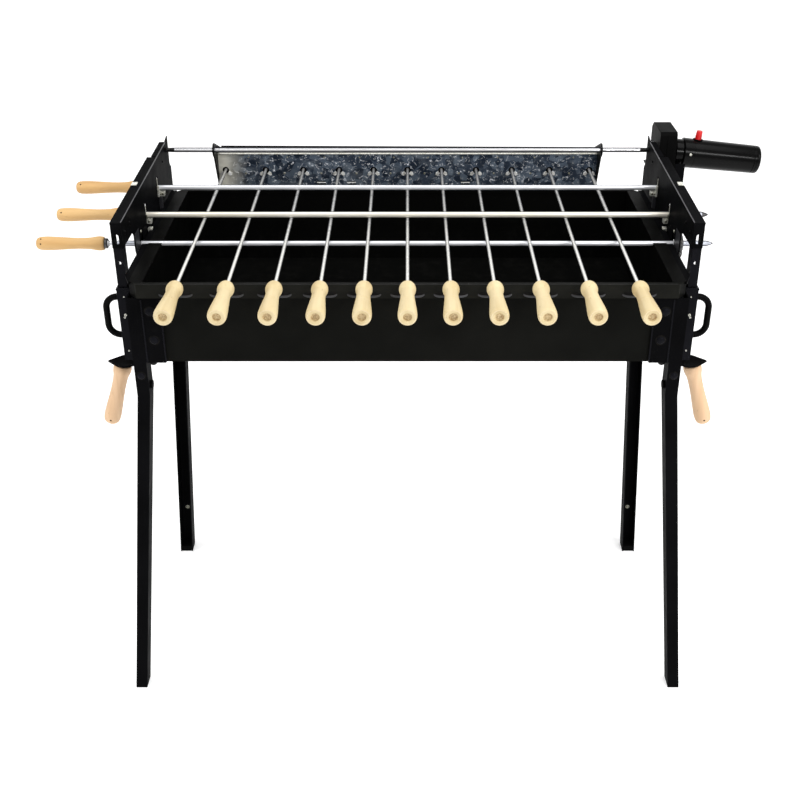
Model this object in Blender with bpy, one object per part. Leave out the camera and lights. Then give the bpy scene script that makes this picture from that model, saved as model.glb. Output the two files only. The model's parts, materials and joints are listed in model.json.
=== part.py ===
"""Charcoal spit roaster with a battery motor, three large spits and eleven small skewers.

Metres, +Z up. The model is laid out from the middle of the trough's front face at floor level:
+X to the motor side, +Y to the back. Its last step moves it so that its box is centred on the
origin, with the feet at Z = 0.
"""

import math

import bmesh
import bpy
from mathutils import Matrix, Vector

GAP = 0.0003                 # clearance between pieces that touch

# Trough
BODY_HALF = 0.384            # half width over the side walls
RIM_HALF = 0.402             # half width over the side rims
LIP_HALF = 0.390             # half width of the front lip
TROUGH_FRONT = 0.002
TROUGH_BACK = 0.398
TROUGH_BASE = 0.6265
RIM_BASE = 0.732
RIM_TOP = 0.7541
RIM_REACH = 0.006            # how far the lip stands in front of the panel
SHEET = 0.002
NOTCH_PLAY = 0.0016          # room round the front spit in the side rims' notches
OVERCUT = 0.010              # how far a cutter runs past what it cuts

# Legs
LEG_DEPTH = 0.028
LEG_TOP = 0.7315
LEG_KNEE = 0.570
LEG_PLATE_INNER = 0.358      # inner edge of the plate bolted on the trough
LEGS = {                     # outer X at the top, outer X at the foot, width, face Y, foot's Y shift, way in
    "front": (0.407, 0.468, 0.019, -0.0025, -0.0145, 1),
    "rear": (0.428, 0.458, 0.024, 0.4025, -0.0075, -1),
}

# Side plates of the lifting frame
PLATE_X = 0.4150             # inner face
PLATE_SHEET = 0.0015
PLATE_FRONT = 0.050
PLATE_TOP_FRONT = 0.827
PLATE_TOP_REAR = 0.8393
PLATE_REAR_BEND = 0.404
PLATE_REAR = 0.424
PLATE_APEX = 0.844
PLATE_LOWER_FRONT = 0.787
PLATE_STEP = ((0.424, 0.795), (0.434, 0.785))   # the rear edge's slant, Y and Z
SEAT_PLAY = 0.0006           # room round a spit in its seat or slot
SLOT_LIFT = 0.014            # how far the closed slots run upwards
ROD_PLAY = 0.0005            # room round the drive rod in its holes
FLANGE_WIDTH = 0.016
REAR_FLANGE_WIDTH = 0.010
FLANGE_SET = 0.0003          # the flanges start this far inside the plate's edges
FLANGE_SPLIT = (0.328, 0.332)
SKIRT_BASE = 0.7335
HOOK = (0.123, 0.176)        # the tongue that carries the front spit
HOOK_TOP = 0.764             # top of the gap behind it, where the spit goes in
HOOK_GAP = 0.012
SKIRT_CORNER = 0.010
CORNER_CUT = 0.008
PEEP_HOLE = (0.42375, 0.8008, 0.0038, 0.0045)   # X, Z, radius and half length of the front slot

# Struts, their sleeves and the carry handles
STRUT_X = (0.4170, 0.4305)
STRUT_Y = (0.0526, 0.0726)
STRUT_Z = (0.620, 0.8245)
STRUT_SHEET = 0.0016
STRUT_HOLES = (0.7632, -0.040, 4)   # first hole's Z, step, count
STRUT_HOLE_RADIUS = 0.0026
SLEEVE_Z = (0.6036, 0.7240)
SLEEVE_SHEET = 0.0018
SLEEVE_PLAY = 0.0008
LUG_Z = ((0.645, 0.665), (0.695, 0.715))
CARRY_Z = (0.641, 0.705)
CARRY_REACH = 0.0265
CARRY_RADIUS = 0.0050
CARRY_BEND = 0.018

# Catch levers under the sleeves
LATCH_PIVOT = (0.4165, 0.5995)
LATCH_PLATE_Z = (0.5935, 0.5965)
LATCH_PLATE_X = 0.4345       # centre of the plate's round end
LATCH_PLATE_RADIUS = 0.0205
LATCH_TIP_X = 0.463
LATCH_TIP_HALF = 0.002
LATCH_GRIP_X = 0.4405
LATCH_GRIP_DROP = 0.0042     # keeps the leaning grip's top clear of the plate
LATCH_GRIP_LENGTH = 0.108
LATCH_GRIP_RADIUS = 0.0142
LATCH_GRIP_LEAN = math.radians(16.5)

# Spits: Y, Z, bar radius, X of the grip's outer end, X of the tip
SPITS = {
    "front": (0.160, 0.7512, 0.0043, -0.578, 0.476),
    "middle": (0.215, 0.7780, 0.0050, -0.557, 0.478),
    "rear": (0.315, 0.7885, 0.0043, -0.550, 0.452),
}
SPIT_GRIP_LENGTH = 0.106
SPIT_GRIP_RADIUS = 0.0112
SPIT_SPROCKET_TIP = 0.022
SPIT_SPROCKET_TEETH = 18
SPROCKET_TOOTH = 0.0030

# Drive rod and chain
ROD_Y = 0.412
ROD_Z = 0.8224
ROD_RADIUS = 0.0040
ROD_X = (-0.4255, 0.4265)
ROD_SPROCKET_TIP = 0.0110
ROD_SPROCKET_TEETH = 9
SPROCKET_X = (0.4195, 0.4235)
CHAIN_X = (0.4190, 0.4240)
CHAIN_CLEARANCE = 0.0008
CHAIN_THICKNESS = 0.0020

# Gear housing of the small skewers
HOUSING_HALF = 0.3325
HOUSING_Y = (0.440, 0.484)
HOUSING_Z = (0.742, 0.808)
HOUSING_SHEET = 0.0012
HOUSING_WALL = 0.0020
HOUSING_MARGIN = 0.002       # keeps the ears inside the housing's height
EAR_WIDTH = 0.0025
EAR_RADIUS = 0.0115
SOCKET_RADIUS = 0.0060
WORM_SHAFT_Y = 0.464
WORM_SHAFT_Z = 0.7555
WORM_RADIUS = 0.0080
WORM_HALF = 0.009
WORM_SHAFT_RADIUS = 0.0040

# Small skewers
SKEWER_COUNT_EACH_SIDE = 5
SKEWER_PITCH = 0.0609
SKEWER_PITCH_GROWTH = 0.00018
SKEWER_FRONT_SPREAD = 1.006
SKEWER_REAR_SPREAD = 0.980
SKEWER_RADIUS = 0.0028
SKEWER_LIP_Z = 0.7575
SKEWER_SOCKET_Z = 0.777
SKEWER_END_Y = 0.470
SKEWER_GRIP_LENGTH = 0.0975
SKEWER_GRIP_START = -0.0135
SKEWER_GRIP_RADIUS = 0.0134

# Motor
GEARBOX_X = (0.4270, 0.4560)
GEARBOX_Y = (0.380, 0.455)
GEARBOX_Z = (0.793, 0.862)
GEARBOX_CHAMFER = 0.010
BRACKET_SHEET = 0.0025
BRACKET_BASE = 0.765
BRACKET_END = 0.470
BRACKET_SET = 0.005          # how far the bracket stays inside the gearbox's depth
BARREL_START = (0.4563, 0.412, 0.8198)
BARREL_DROOP = math.radians(5.7)
BARREL_RADIUS = 0.0255
BARREL_END_RADIUS = 0.0236
BARREL_LENGTH = 0.150
NECK_LENGTH = 0.016
NECK_RADIUS = 0.0225
CAP_LENGTH = 0.012
SWITCH_ALONG = 0.040
SWITCH_RADIUS = 0.0055
SWITCH_HEIGHT = 0.017
SWITCH_POCKET = 0.005
SWITCH_PLAY = 0.0006
SWITCH_FLOOR_GAP = 0.0032    # free room under the switch, more than its stroke

COLOURS = {                  # base colour, metallic, roughness
    "powder_black": ((0.012, 0.012, 0.013), 0.2, 0.42),
    "bright_steel": ((0.62, 0.62, 0.60), 1.0, 0.24),
    "galvanised": ((0.40, 0.44, 0.50), 1.0, 0.38),
    "skewer_wood": ((0.86, 0.74, 0.50), 0.0, 0.55),
    "spit_wood": ((0.80, 0.56, 0.28), 0.0, 0.50),
    "lever_wood": ((0.84, 0.62, 0.42), 0.0, 0.55),
    "motor_black": ((0.015, 0.015, 0.015), 0.0, 0.38),
    "switch_red": ((0.75, 0.02, 0.02), 0.0, 0.40),
    "gear_steel": ((0.20, 0.20, 0.20), 1.0, 0.45),
}


def clear_scene():
    for obj in list(bpy.data.objects):
        bpy.data.objects.remove(obj, do_unlink=True)


def make_materials():
    made = {}
    for name, (colour, metallic, roughness) in COLOURS.items():
        material = bpy.data.materials.new(name)
        material.use_nodes = True
        shader = material.node_tree.nodes["Principled BSDF"]
        shader.inputs["Base Color"].default_value = (*colour, 1.0)
        shader.inputs["Metallic"].default_value = metallic
        shader.inputs["Roughness"].default_value = roughness
        made[name] = material
    return made


# ---- mesh building -------------------------------------------------------------------------

def finish_bmesh(name, bm, smooth=False):
    bmesh.ops.recalc_face_normals(bm, faces=bm.faces)
    mesh = bpy.data.meshes.new(name)
    bm.to_mesh(mesh)
    bm.free()
    if smooth:
        mesh.shade_smooth()
        mesh.set_sharp_from_angle(angle=math.radians(35))
    obj = bpy.data.objects.new(name, mesh)
    bpy.context.scene.collection.objects.link(obj)
    return obj


def loft(name, rings, smooth=False):
    """A closed body through rings of points that all have the same count."""
    bm = bmesh.new()
    loops = [[bm.verts.new(p) for p in ring] for ring in rings]
    count = len(loops[0])
    for low, high in zip(loops, loops[1:]):
        for i in range(count):
            j = (i + 1) % count
            bm.faces.new((low[i], low[j], high[j], high[i]))
    bm.faces.new(loops[0])
    bm.faces.new(loops[-1])
    return finish_bmesh(name, bm, smooth)


def prism(name, outline, axis, span, smooth=False):
    """Extrudes an outline along axis. The outline's two values are the other axes in X, Y, Z order."""
    def place(point, along):
        values = list(point)
        values.insert("xyz".index(axis), along)
        return values
    rings = [[place(p, along) for p in outline] for along in span]
    return loft(name, rings, smooth)


def block(name, x_span, y_span, z_span):
    (x0, x1), (y0, y1) = x_span, y_span
    return prism(name, [(x0, y0), (x1, y0), (x1, y1), (x0, y1)], "z", z_span)


def turned(name, start, direction, profile, segments):
    """Turns a profile of (distance along the axis, radius) about the axis through start."""
    axis = Vector(direction).normalized()
    turn = axis.to_track_quat("Z", "Y").to_matrix()
    rings = []
    for along, radius in profile:
        ring = []
        for i in range(segments):
            angle = math.tau * i / segments
            local = Vector((radius * math.cos(angle), radius * math.sin(angle), along))
            ring.append(Vector(start) + turn @ local)
        rings.append(ring)
    return loft(name, rings, smooth=True)


def circle(centre, radius, segments, start=0.0, sweep=math.tau, closed=True):
    """Points of an arc; a full circle leaves out its last point, which repeats the first."""
    steps = segments if closed else segments + 1
    points = []
    for i in range(steps):
        angle = start + sweep * i / segments
        points.append((centre[0] + radius * math.cos(angle), centre[1] + radius * math.sin(angle)))
    return points


def swept_rod(name, path, radius, segments):
    """A round rod along a path that stays in the XZ plane."""
    rings = []
    for i, point in enumerate(path):
        before = Vector(path[max(i - 1, 0)])
        after = Vector(path[min(i + 1, len(path) - 1)])
        tangent = (after - before).normalized()
        side = Vector((0, 1, 0))
        other = tangent.cross(side)
        ring = []
        for k in range(segments):
            angle = math.tau * k / segments
            ring.append(Vector(point) + radius * (math.cos(angle) * side + math.sin(angle) * other))
        rings.append(ring)
    return loft(name, rings, smooth=True)


def combine(target, tool, operation):
    """Applies an exact Boolean of tool on target, and removes the tool."""
    modifier = target.modifiers.new("combine", "BOOLEAN")
    modifier.operation = operation
    modifier.solver = "EXACT"
    modifier.object = tool
    depsgraph = bpy.context.evaluated_depsgraph_get()
    mesh = bpy.data.meshes.new_from_object(target.evaluated_get(depsgraph))
    target.modifiers.remove(modifier)
    target.data = mesh
    bpy.data.objects.remove(tool, do_unlink=True)
    return target


def mirrored(name, source):
    """A copy of source on the other side of the X = 0 plane."""
    bm = bmesh.new()
    bm.from_mesh(source.data)
    bmesh.ops.transform(bm, matrix=Matrix.Scale(-1, 4, (1, 0, 0)), verts=bm.verts)
    bmesh.ops.reverse_faces(bm, faces=bm.faces)
    mesh = bpy.data.meshes.new(name)
    bm.to_mesh(mesh)
    bm.free()
    obj = bpy.data.objects.new(name, mesh)
    bpy.context.scene.collection.objects.link(obj)
    return obj


def dress(obj, material):
    obj.data.materials.clear()
    obj.data.materials.append(material)
    return obj


def hang(obj, parent, origin=None):
    """Parents obj, and moves its origin to a point on its joint's axis where one is given."""
    point = Vector(origin) if origin else Vector((0, 0, 0))
    if obj.data:
        obj.data.transform(Matrix.Translation(-point))
    obj.parent = parent
    obj.location = point
    return obj


def empty(name, parent=None):
    obj = bpy.data.objects.new(name, None)
    bpy.context.scene.collection.objects.link(obj)
    obj.parent = parent
    return obj


# ---- trough and legs -----------------------------------------------------------------------

def make_trough():
    trough = block("trough", (-BODY_HALF, BODY_HALF), (TROUGH_FRONT, TROUGH_BACK), (TROUGH_BASE, RIM_TOP))
    lip_front = TROUGH_FRONT - RIM_REACH
    rim_back = TROUGH_BACK + RIM_REACH
    corner = RIM_HALF - LIP_HALF
    rim = []
    for sx, sy in ((-1, -1), (1, -1), (1, 1), (-1, 1)):
        y_edge = lip_front if sy < 0 else rim_back
        y_corner = y_edge - sy * corner
        pair = [(sx * RIM_HALF, y_corner), (sx * LIP_HALF, y_edge)]
        rim += pair if sx * sy > 0 else pair[::-1]
    combine(trough, prism("rim", rim, "z", (RIM_BASE, RIM_TOP)), "UNION")
    inner = BODY_HALF - SHEET
    hollow = block(
        "hollow", (-inner, inner), (TROUGH_FRONT + SHEET, TROUGH_BACK - SHEET),
        (TROUGH_BASE + SHEET, RIM_TOP + SHEET),
    )
    combine(trough, hollow, "DIFFERENCE")
    y, z, radius = SPITS["front"][:3]
    half = radius + NOTCH_PLAY
    notch = circle((y, z), half, 6, math.pi, math.pi, closed=False)
    notch += [(y + half, RIM_TOP + OVERCUT), (y - half, RIM_TOP + OVERCUT)]
    reach = RIM_HALF + OVERCUT
    return combine(trough, prism("notch", notch, "x", (-reach, reach)), "DIFFERENCE")


def leg_ring(outer_x, width, face_y, way_in, z):
    """The channel's section at one height: a face, and a side wall at each edge."""
    inner_x = outer_x - width
    back = face_y + way_in * LEG_DEPTH
    front = face_y + way_in * SHEET
    return [
        (outer_x, face_y, z), (outer_x, back, z), (outer_x - SHEET, back, z), (outer_x - SHEET, front, z),
        (inner_x + SHEET, front, z), (inner_x + SHEET, back, z), (inner_x, back, z), (inner_x, face_y, z),
    ]


def make_leg(name, row):
    top_x, foot_x, width, face_y, foot_shift, way_in = LEGS[row]
    rings = [
        leg_ring(foot_x, width, face_y + foot_shift, way_in, 0.0),
        leg_ring(top_x, width, face_y, way_in, LEG_KNEE),
        leg_ring(top_x, width, face_y, way_in, LEG_TOP),
    ]
    leg = loft(name, rings)
    y_span = sorted((face_y, face_y + way_in * SHEET))
    plate = block("plate", (LEG_PLATE_INNER, top_x - SHEET), y_span, (TROUGH_BASE, LEG_TOP))
    return combine(leg, plate, "UNION")


# ---- lifting frame -------------------------------------------------------------------------

def plate_outline():
    """Outline in Y and Z, with a hook at the front and a straight skirt behind it."""
    spit_y, spit_z, spit_radius = SPITS["front"][:3]
    front, back = HOOK
    seat = circle((spit_y, spit_z), spit_radius + SEAT_PLAY, 6, math.radians(90), math.pi, closed=False)
    outline = [(PLATE_FRONT, PLATE_TOP_FRONT), (PLATE_REAR_BEND, PLATE_TOP_REAR), (PLATE_REAR, PLATE_APEX)]
    outline += PLATE_STEP
    rear = PLATE_STEP[-1][0]
    corner = (rear - SKIRT_CORNER, SKIRT_BASE + SKIRT_CORNER)
    outline += circle(corner, SKIRT_CORNER, 4, 0.0, -math.pi / 2, closed=False)
    outline += [(back + HOOK_GAP, SKIRT_BASE), (back + HOOK_GAP, HOOK_TOP), (back, HOOK_TOP)]
    outline += [(back, seat[0][1])] + seat + [(back - SHEET, seat[-1][1])]
    radius = 0.5 * (back - front)
    lean = math.radians(-30)
    outline += circle((front + radius, SKIRT_BASE + radius), radius, 8, lean, -math.pi - lean, closed=False)
    outline += [(front, PLATE_LOWER_FRONT - CORNER_CUT), (front - CORNER_CUT, PLATE_LOWER_FRONT)]
    outline += [(PLATE_FRONT, PLATE_LOWER_FRONT)]
    return outline


def flange_strip(y_span):
    """Outline in Y and Z of a stretch of the top flange, one sheet thick."""
    slope = (PLATE_TOP_REAR - PLATE_TOP_FRONT) / (PLATE_REAR_BEND - PLATE_FRONT)
    heights = [PLATE_TOP_FRONT + slope * (y - PLATE_FRONT) - FLANGE_SET for y in y_span]
    upper = list(zip(y_span, heights))
    lower = [(y, z - PLATE_SHEET) for y, z in reversed(upper)]
    return upper + lower


def peep_slot():
    """The upright slot through the front flange and the strut, in front of the front spit."""
    x, z, radius, half = PEEP_HOLE
    outline = circle((x, z - half), radius, 8, math.pi, math.pi, closed=False)
    outline += circle((x, z + half), radius, 8, 0.0, math.pi, closed=False)
    return prism("peep", outline, "y", (PLATE_FRONT - OVERCUT, STRUT_Y[0] + STRUT_SHEET + GAP))


def make_side_plate(name):
    outer = PLATE_X + PLATE_SHEET
    inside = PLATE_X + PLATE_SHEET / 2
    cut = (PLATE_X - OVERCUT, outer + PLATE_SHEET)
    plate = prism(name, plate_outline(), "x", (PLATE_X, outer))
    long_strip = flange_strip((PLATE_FRONT + FLANGE_SET, FLANGE_SPLIT[0]))
    flange = prism("flange", long_strip, "x", (inside, PLATE_X + FLANGE_WIDTH))
    front = block(
        "front", (inside + FLANGE_SET, PLATE_X + FLANGE_WIDTH - FLANGE_SET),
        (PLATE_FRONT + 2 * FLANGE_SET, PLATE_FRONT + 2 * FLANGE_SET + PLATE_SHEET),
        (PLATE_LOWER_FRONT + FLANGE_SET, PLATE_TOP_FRONT - PLATE_SHEET / 2),
    )
    combine(flange, front, "UNION")
    combine(plate, flange, "UNION")
    short_strip = flange_strip((FLANGE_SPLIT[1], PLATE_REAR_BEND))
    combine(plate, prism("flange", short_strip, "x", (inside, PLATE_X + REAR_FLANGE_WIDTH)), "UNION")
    for spit in ("middle", "rear"):
        y, z, radius = SPITS[spit][:3]
        half = radius + SEAT_PLAY
        slot = circle((y, z), half, 6, math.pi, math.pi, closed=False)
        slot += circle((y, z + SLOT_LIFT), half, 6, 0.0, math.pi, closed=False)
        combine(plate, prism("slot", slot, "x", cut), "DIFFERENCE")
    bore = prism("bore", circle((ROD_Y, ROD_Z), ROD_RADIUS + ROD_PLAY, 16), "x", cut)
    combine(plate, bore, "DIFFERENCE")
    return combine(plate, peep_slot(), "DIFFERENCE")


def make_strut(name):
    """A channel open to the back, with a row of holes in its face."""
    (x0, x1), (y0, y1), wall = STRUT_X, STRUT_Y, STRUT_SHEET
    outline = [(x0, y1), (x0, y0), (x1, y0), (x1, y1)]
    outline += [(x1 - wall, y1), (x1 - wall, y0 + wall), (x0 + wall, y0 + wall), (x0 + wall, y1)]
    strut = prism(name, outline, "z", STRUT_Z)
    first, step, count = STRUT_HOLES
    middle = 0.5 * (x0 + x1)
    for i in range(count):
        hole = circle((middle, first + i * step), STRUT_HOLE_RADIUS, 12, math.radians(15))
        combine(strut, prism("hole", hole, "y", (y0 - OVERCUT, y0 + wall + GAP)), "DIFFERENCE")
    return combine(strut, peep_slot(), "DIFFERENCE")


def make_sleeve(name):
    play = SLEEVE_PLAY
    wall = SLEEVE_PLAY + SLEEVE_SHEET
    (x0, x1), (y0, y1) = STRUT_X, STRUT_Y
    sleeve = block(name, (x0 - wall, x1 + wall), (y0 - wall, y1 + wall), SLEEVE_Z)
    for z_span in LUG_Z:
        lug = block("lug", (BODY_HALF + GAP, x0 - play - GAP), (y0 + SHEET, y1 - SHEET), z_span)
        combine(sleeve, lug, "UNION")
    bore = block(
        "bore", (x0 - play, x1 + play), (y0 - play, y1 + play),
        (SLEEVE_Z[0] - OVERCUT, SLEEVE_Z[1] + OVERCUT),
    )
    return combine(sleeve, bore, "DIFFERENCE")


def make_carry_handle(name):
    """A bent rod whose two ends stop against the sleeve's outer face."""
    start = STRUT_X[1] + SLEEVE_PLAY + SLEEVE_SHEET + GAP
    bend = CARRY_BEND
    turn_x = start + CARRY_REACH - CARRY_RADIUS - bend
    y = 0.5 * (STRUT_Y[0] + STRUT_Y[1])
    low, high = CARRY_Z
    flat = [(start, high)]
    flat += circle((turn_x, high - bend), bend, 5, math.pi / 2, -math.pi / 2, closed=False)
    flat += circle((turn_x, low + bend), bend, 5, 0.0, -math.pi / 2, closed=False)
    flat += [(start, low)]
    return swept_rod(name, [(x, y, z) for x, z in flat], CARRY_RADIUS, 10)


# ---- catch levers --------------------------------------------------------------------------

def make_latch_plate(name):
    """A flat plate, round at the back of the sleeve and pointed outwards."""
    y = 0.5 * (STRUT_Y[0] + STRUT_Y[1])
    centre = (LATCH_PLATE_X, y)
    outline = circle(centre, LATCH_PLATE_RADIUS, 10, math.radians(70), math.radians(220), closed=False)
    outline += [(LATCH_TIP_X, y - LATCH_TIP_HALF), (LATCH_TIP_X, y + LATCH_TIP_HALF)]
    return prism(name, outline, "z", LATCH_PLATE_Z)


def make_latch_grip(name):
    y = 0.5 * (STRUT_Y[0] + STRUT_Y[1])
    start = (LATCH_GRIP_X, y, LATCH_PLATE_Z[0] - GAP - LATCH_GRIP_DROP)
    direction = (math.sin(LATCH_GRIP_LEAN), 0, -math.cos(LATCH_GRIP_LEAN))
    return turned(name, start, direction, grip_profile(LATCH_GRIP_LENGTH, LATCH_GRIP_RADIUS), 12)


def grip_profile(length, radius):
    """A turned wooden grip from its collar to its rounded end: (share of length, share of radius)."""
    shape = (
        (0.0, 0.90), (0.05, 1.0), (0.12, 0.98), (0.22, 0.82), (0.40, 0.78),
        (0.62, 0.90), (0.82, 1.0), (0.94, 0.95), (1.0, 0.70),
    )
    return [(length * along, radius * across) for along, across in shape]


# ---- spits ---------------------------------------------------------------------------------

def sprocket(name, centre, tip_radius, teeth, bore_radius):
    root = tip_radius - SPROCKET_TOOTH
    outline = []
    for i in range(teeth):
        middle = math.tau * i / teeth
        for offset, radius in ((-0.30, root), (-0.10, tip_radius), (0.10, tip_radius), (0.30, root)):
            angle = middle + offset * math.tau / teeth
            outline.append((centre[0] + radius * math.cos(angle), centre[1] + radius * math.sin(angle)))
    wheel = prism(name, outline, "x", SPROCKET_X)
    x_span = (SPROCKET_X[0] - OVERCUT, SPROCKET_X[1] + OVERCUT)
    return combine(wheel, prism("bore", circle(centre, bore_radius, 12), "x", x_span), "DIFFERENCE")


def make_spit(row, parent, materials):
    y, z, radius, grip_end, tip = SPITS[row]
    collar = grip_end + SPIT_GRIP_LENGTH
    grip = turned(
        f"spit_grip_{row}", (collar, y, z), (-1, 0, 0), grip_profile(SPIT_GRIP_LENGTH, SPIT_GRIP_RADIUS), 14
    )
    length = tip - collar - GAP
    profile = [
        (0.0, 0.0070), (0.0045, 0.0080), (0.0055, 0.0030), (0.0160, 0.0030), (0.0180, radius),
        (length - 0.014, radius), (length - 0.003, 0.0016), (length, 0.0007),
    ]
    bar = turned(f"spit_bar_{row}", (collar + GAP, y, z), (1, 0, 0), profile, 12)
    wheel = sprocket(f"spit_sprocket_{row}", (y, z), SPIT_SPROCKET_TIP, SPIT_SPROCKET_TEETH, radius + GAP)
    origin = (0, y, z)
    for obj, key in ((grip, "spit_wood"), (bar, "bright_steel"), (wheel, "gear_steel")):
        hang(dress(obj, materials[key]), parent, origin)


# ---- drive ---------------------------------------------------------------------------------

def convex_outline(points):
    """Convex hull by the monotone chain."""
    points = sorted(points)

    def half(ordered):
        kept = []
        for p in ordered:
            while len(kept) > 1 and turn_left(kept[-2], kept[-1], p) <= 0:
                kept.pop()
            kept.append(p)
        return kept[:-1]

    return half(points) + half(points[::-1])


def turn_left(a, b, c):
    return (b[0] - a[0]) * (c[1] - a[1]) - (b[1] - a[1]) * (c[0] - a[0])


def chain_loop(offset):
    """Outline round the four sprockets, a given distance outside their tips."""
    wheels = [(y, z, SPIT_SPROCKET_TIP) for y, z, *rest in SPITS.values()]
    wheels.append((ROD_Y, ROD_Z, ROD_SPROCKET_TIP))
    points = []
    for y, z, tip in wheels:
        points += circle((y, z), tip + offset, 28)
    return convex_outline(points)


def make_chain():
    outer = prism("drive_chain", chain_loop(CHAIN_CLEARANCE + CHAIN_THICKNESS), "x", CHAIN_X)
    x_span = (CHAIN_X[0] - OVERCUT, CHAIN_X[1] + OVERCUT)
    inner = prism("inside", chain_loop(CHAIN_CLEARANCE), "x", x_span)
    return combine(outer, inner, "DIFFERENCE")


def make_drive_rod(parent, materials):
    length = ROD_X[1] - ROD_X[0]
    profile = [
        (0.0, 0.0030), (0.002, 0.0038), (0.018, 0.0038), (0.026, ROD_RADIUS),
        (length - 0.026, ROD_RADIUS), (length - 0.018, 0.0038), (length, 0.0038),
    ]
    rod = turned("drive_rod", (ROD_X[0], ROD_Y, ROD_Z), (1, 0, 0), profile, 12)
    centre = (ROD_Y, ROD_Z)
    wheel = sprocket("rod_sprocket", centre, ROD_SPROCKET_TIP, ROD_SPROCKET_TEETH, ROD_RADIUS + GAP)
    origin = (0, ROD_Y, ROD_Z)
    hang(dress(rod, materials["bright_steel"]), parent, origin)
    hang(dress(wheel, materials["gear_steel"]), parent, origin)


# ---- gear housing and small skewers --------------------------------------------------------

def skewer_line(step):
    """A point on a skewer's axis at the lip, and the axis from there to its socket."""
    size = abs(step)
    offset = math.copysign(SKEWER_PITCH * size + SKEWER_PITCH_GROWTH * size ** 3, step)
    front = Vector((offset * SKEWER_FRONT_SPREAD, 0.0, SKEWER_LIP_Z))
    socket = Vector((offset * SKEWER_REAR_SPREAD, HOUSING_Y[0], SKEWER_SOCKET_Z))
    return front, (socket - front).normalized()


def skewer_steps():
    return range(-SKEWER_COUNT_EACH_SIDE, SKEWER_COUNT_EACH_SIDE + 1)


def make_housing_front():
    front_y = HOUSING_Y[0]
    x_span = (-HOUSING_HALF, HOUSING_HALF)
    panel = block("gear_housing_front", x_span, (front_y, front_y + HOUSING_SHEET), HOUSING_Z)
    for step in skewer_steps():
        front, axis = skewer_line(step)
        point = front + axis * (front_y / axis.y)
        outline = circle((point.x, point.z), SOCKET_RADIUS, 12)
        hole = prism("hole", outline, "y", (front_y - OVERCUT, front_y + OVERCUT))
        combine(panel, hole, "DIFFERENCE")
    return panel


def make_housing_back():
    """The cover behind the panel, with an ear at each end that hangs on the drive rod."""
    mouth = HOUSING_Y[0] + HOUSING_SHEET + GAP
    cover = block("gear_housing_back", (-HOUSING_HALF, HOUSING_HALF), (mouth, HOUSING_Y[1]), HOUSING_Z)
    inner = HOUSING_HALF - HOUSING_WALL
    hollow = block(
        "hollow", (-inner, inner), (mouth - OVERCUT, HOUSING_Y[1] - HOUSING_WALL),
        (HOUSING_Z[0] + HOUSING_WALL, HOUSING_Z[1] - HOUSING_WALL),
    )
    combine(cover, hollow, "DIFFERENCE")
    for side in (-1, 1):
        edge = side * HOUSING_HALF
        x_span = sorted((edge, edge + side * EAR_WIDTH))
        combine(cover, make_ear(x_span), "UNION")
        root_x = sorted((edge - side * HOUSING_WALL / 2, edge + side * EAR_WIDTH / 2))
        root_z = (HOUSING_Z[0] + 2 * HOUSING_MARGIN, HOUSING_Z[1] - 2 * HOUSING_MARGIN)
        root_y = (mouth + HOUSING_MARGIN, 0.5 * (mouth + HOUSING_Y[1] + HOUSING_WALL))
        combine(cover, block("root", root_x, root_y, root_z), "UNION")
        eye_x = sorted((edge - side * HOUSING_WALL, edge + side * (EAR_WIDTH + HOUSING_WALL)))
        eye = prism("eye", circle((ROD_Y, ROD_Z), ROD_RADIUS + ROD_PLAY, 16), "x", eye_x)
        combine(cover, eye, "DIFFERENCE")
    return cover


def make_ear(x_span):
    """Outline in Y and Z: round about the rod, then down to the back of the cover."""
    front = HOUSING_Y[0] + HOUSING_MARGIN
    back = HOUSING_Y[1] - 2 * HOUSING_MARGIN
    base = HOUSING_Z[0] + HOUSING_MARGIN
    outline = circle((ROD_Y, ROD_Z), EAR_RADIUS, 10, math.radians(60), math.radians(200), closed=False)
    outline += [(front, base), (back, base), (back, HOUSING_Z[1] - HOUSING_MARGIN)]
    return prism("ear", outline, "x", x_span)


def make_worm_shaft():
    """The cross shaft in the housing, with a worm under every skewer's socket."""
    half = HOUSING_HALF - HOUSING_WALL - GAP
    thin, thick, slant = WORM_SHAFT_RADIUS, WORM_RADIUS, 0.001
    profile = [(0.0, thin)]
    for step in skewer_steps():
        front, axis = skewer_line(step)
        middle = (front + axis * (WORM_SHAFT_Y / axis.y)).x + half
        start, end = middle - WORM_HALF, middle + WORM_HALF
        profile += [(start, thin), (start + slant, thick), (end - slant, thick), (end, thin)]
    profile[-1] = (2 * half, thin)
    return turned("skewer_worm_shaft", (-half, WORM_SHAFT_Y, WORM_SHAFT_Z), (1, 0, 0), profile, 10)


def make_skewer(number, step, parent, materials):
    front, axis = skewer_line(step)
    start = front + axis * (SKEWER_GRIP_START / axis.y)
    length = (SKEWER_END_Y - start.y) / axis.y
    rod_profile = [(GAP, SKEWER_RADIUS), (length - 0.006, SKEWER_RADIUS), (length, 0.0012)]
    rod = turned(f"skewer_rod_{number:02d}", start, axis, rod_profile, 8)
    grip = turned(f"skewer_grip_{number:02d}", start, -axis, skewer_grip_profile(), 12)
    hang(dress(rod, materials["bright_steel"]), parent, front)
    hang(dress(grip, materials["skewer_wood"]), parent, front)


def skewer_grip_profile():
    """A ball at the rod, a waist, and a swelling to a flat butt."""
    length = SKEWER_GRIP_LENGTH
    radius = SKEWER_GRIP_RADIUS
    shape = (
        (0.0, 0.52), (0.05, 0.80), (0.13, 0.90), (0.22, 0.84), (0.34, 0.73),
        (0.52, 0.80), (0.75, 0.97), (0.92, 1.0), (1.0, 0.86),
    )
    return [(length * along, radius * across) for along, across in shape]


# ---- motor ---------------------------------------------------------------------------------

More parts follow.
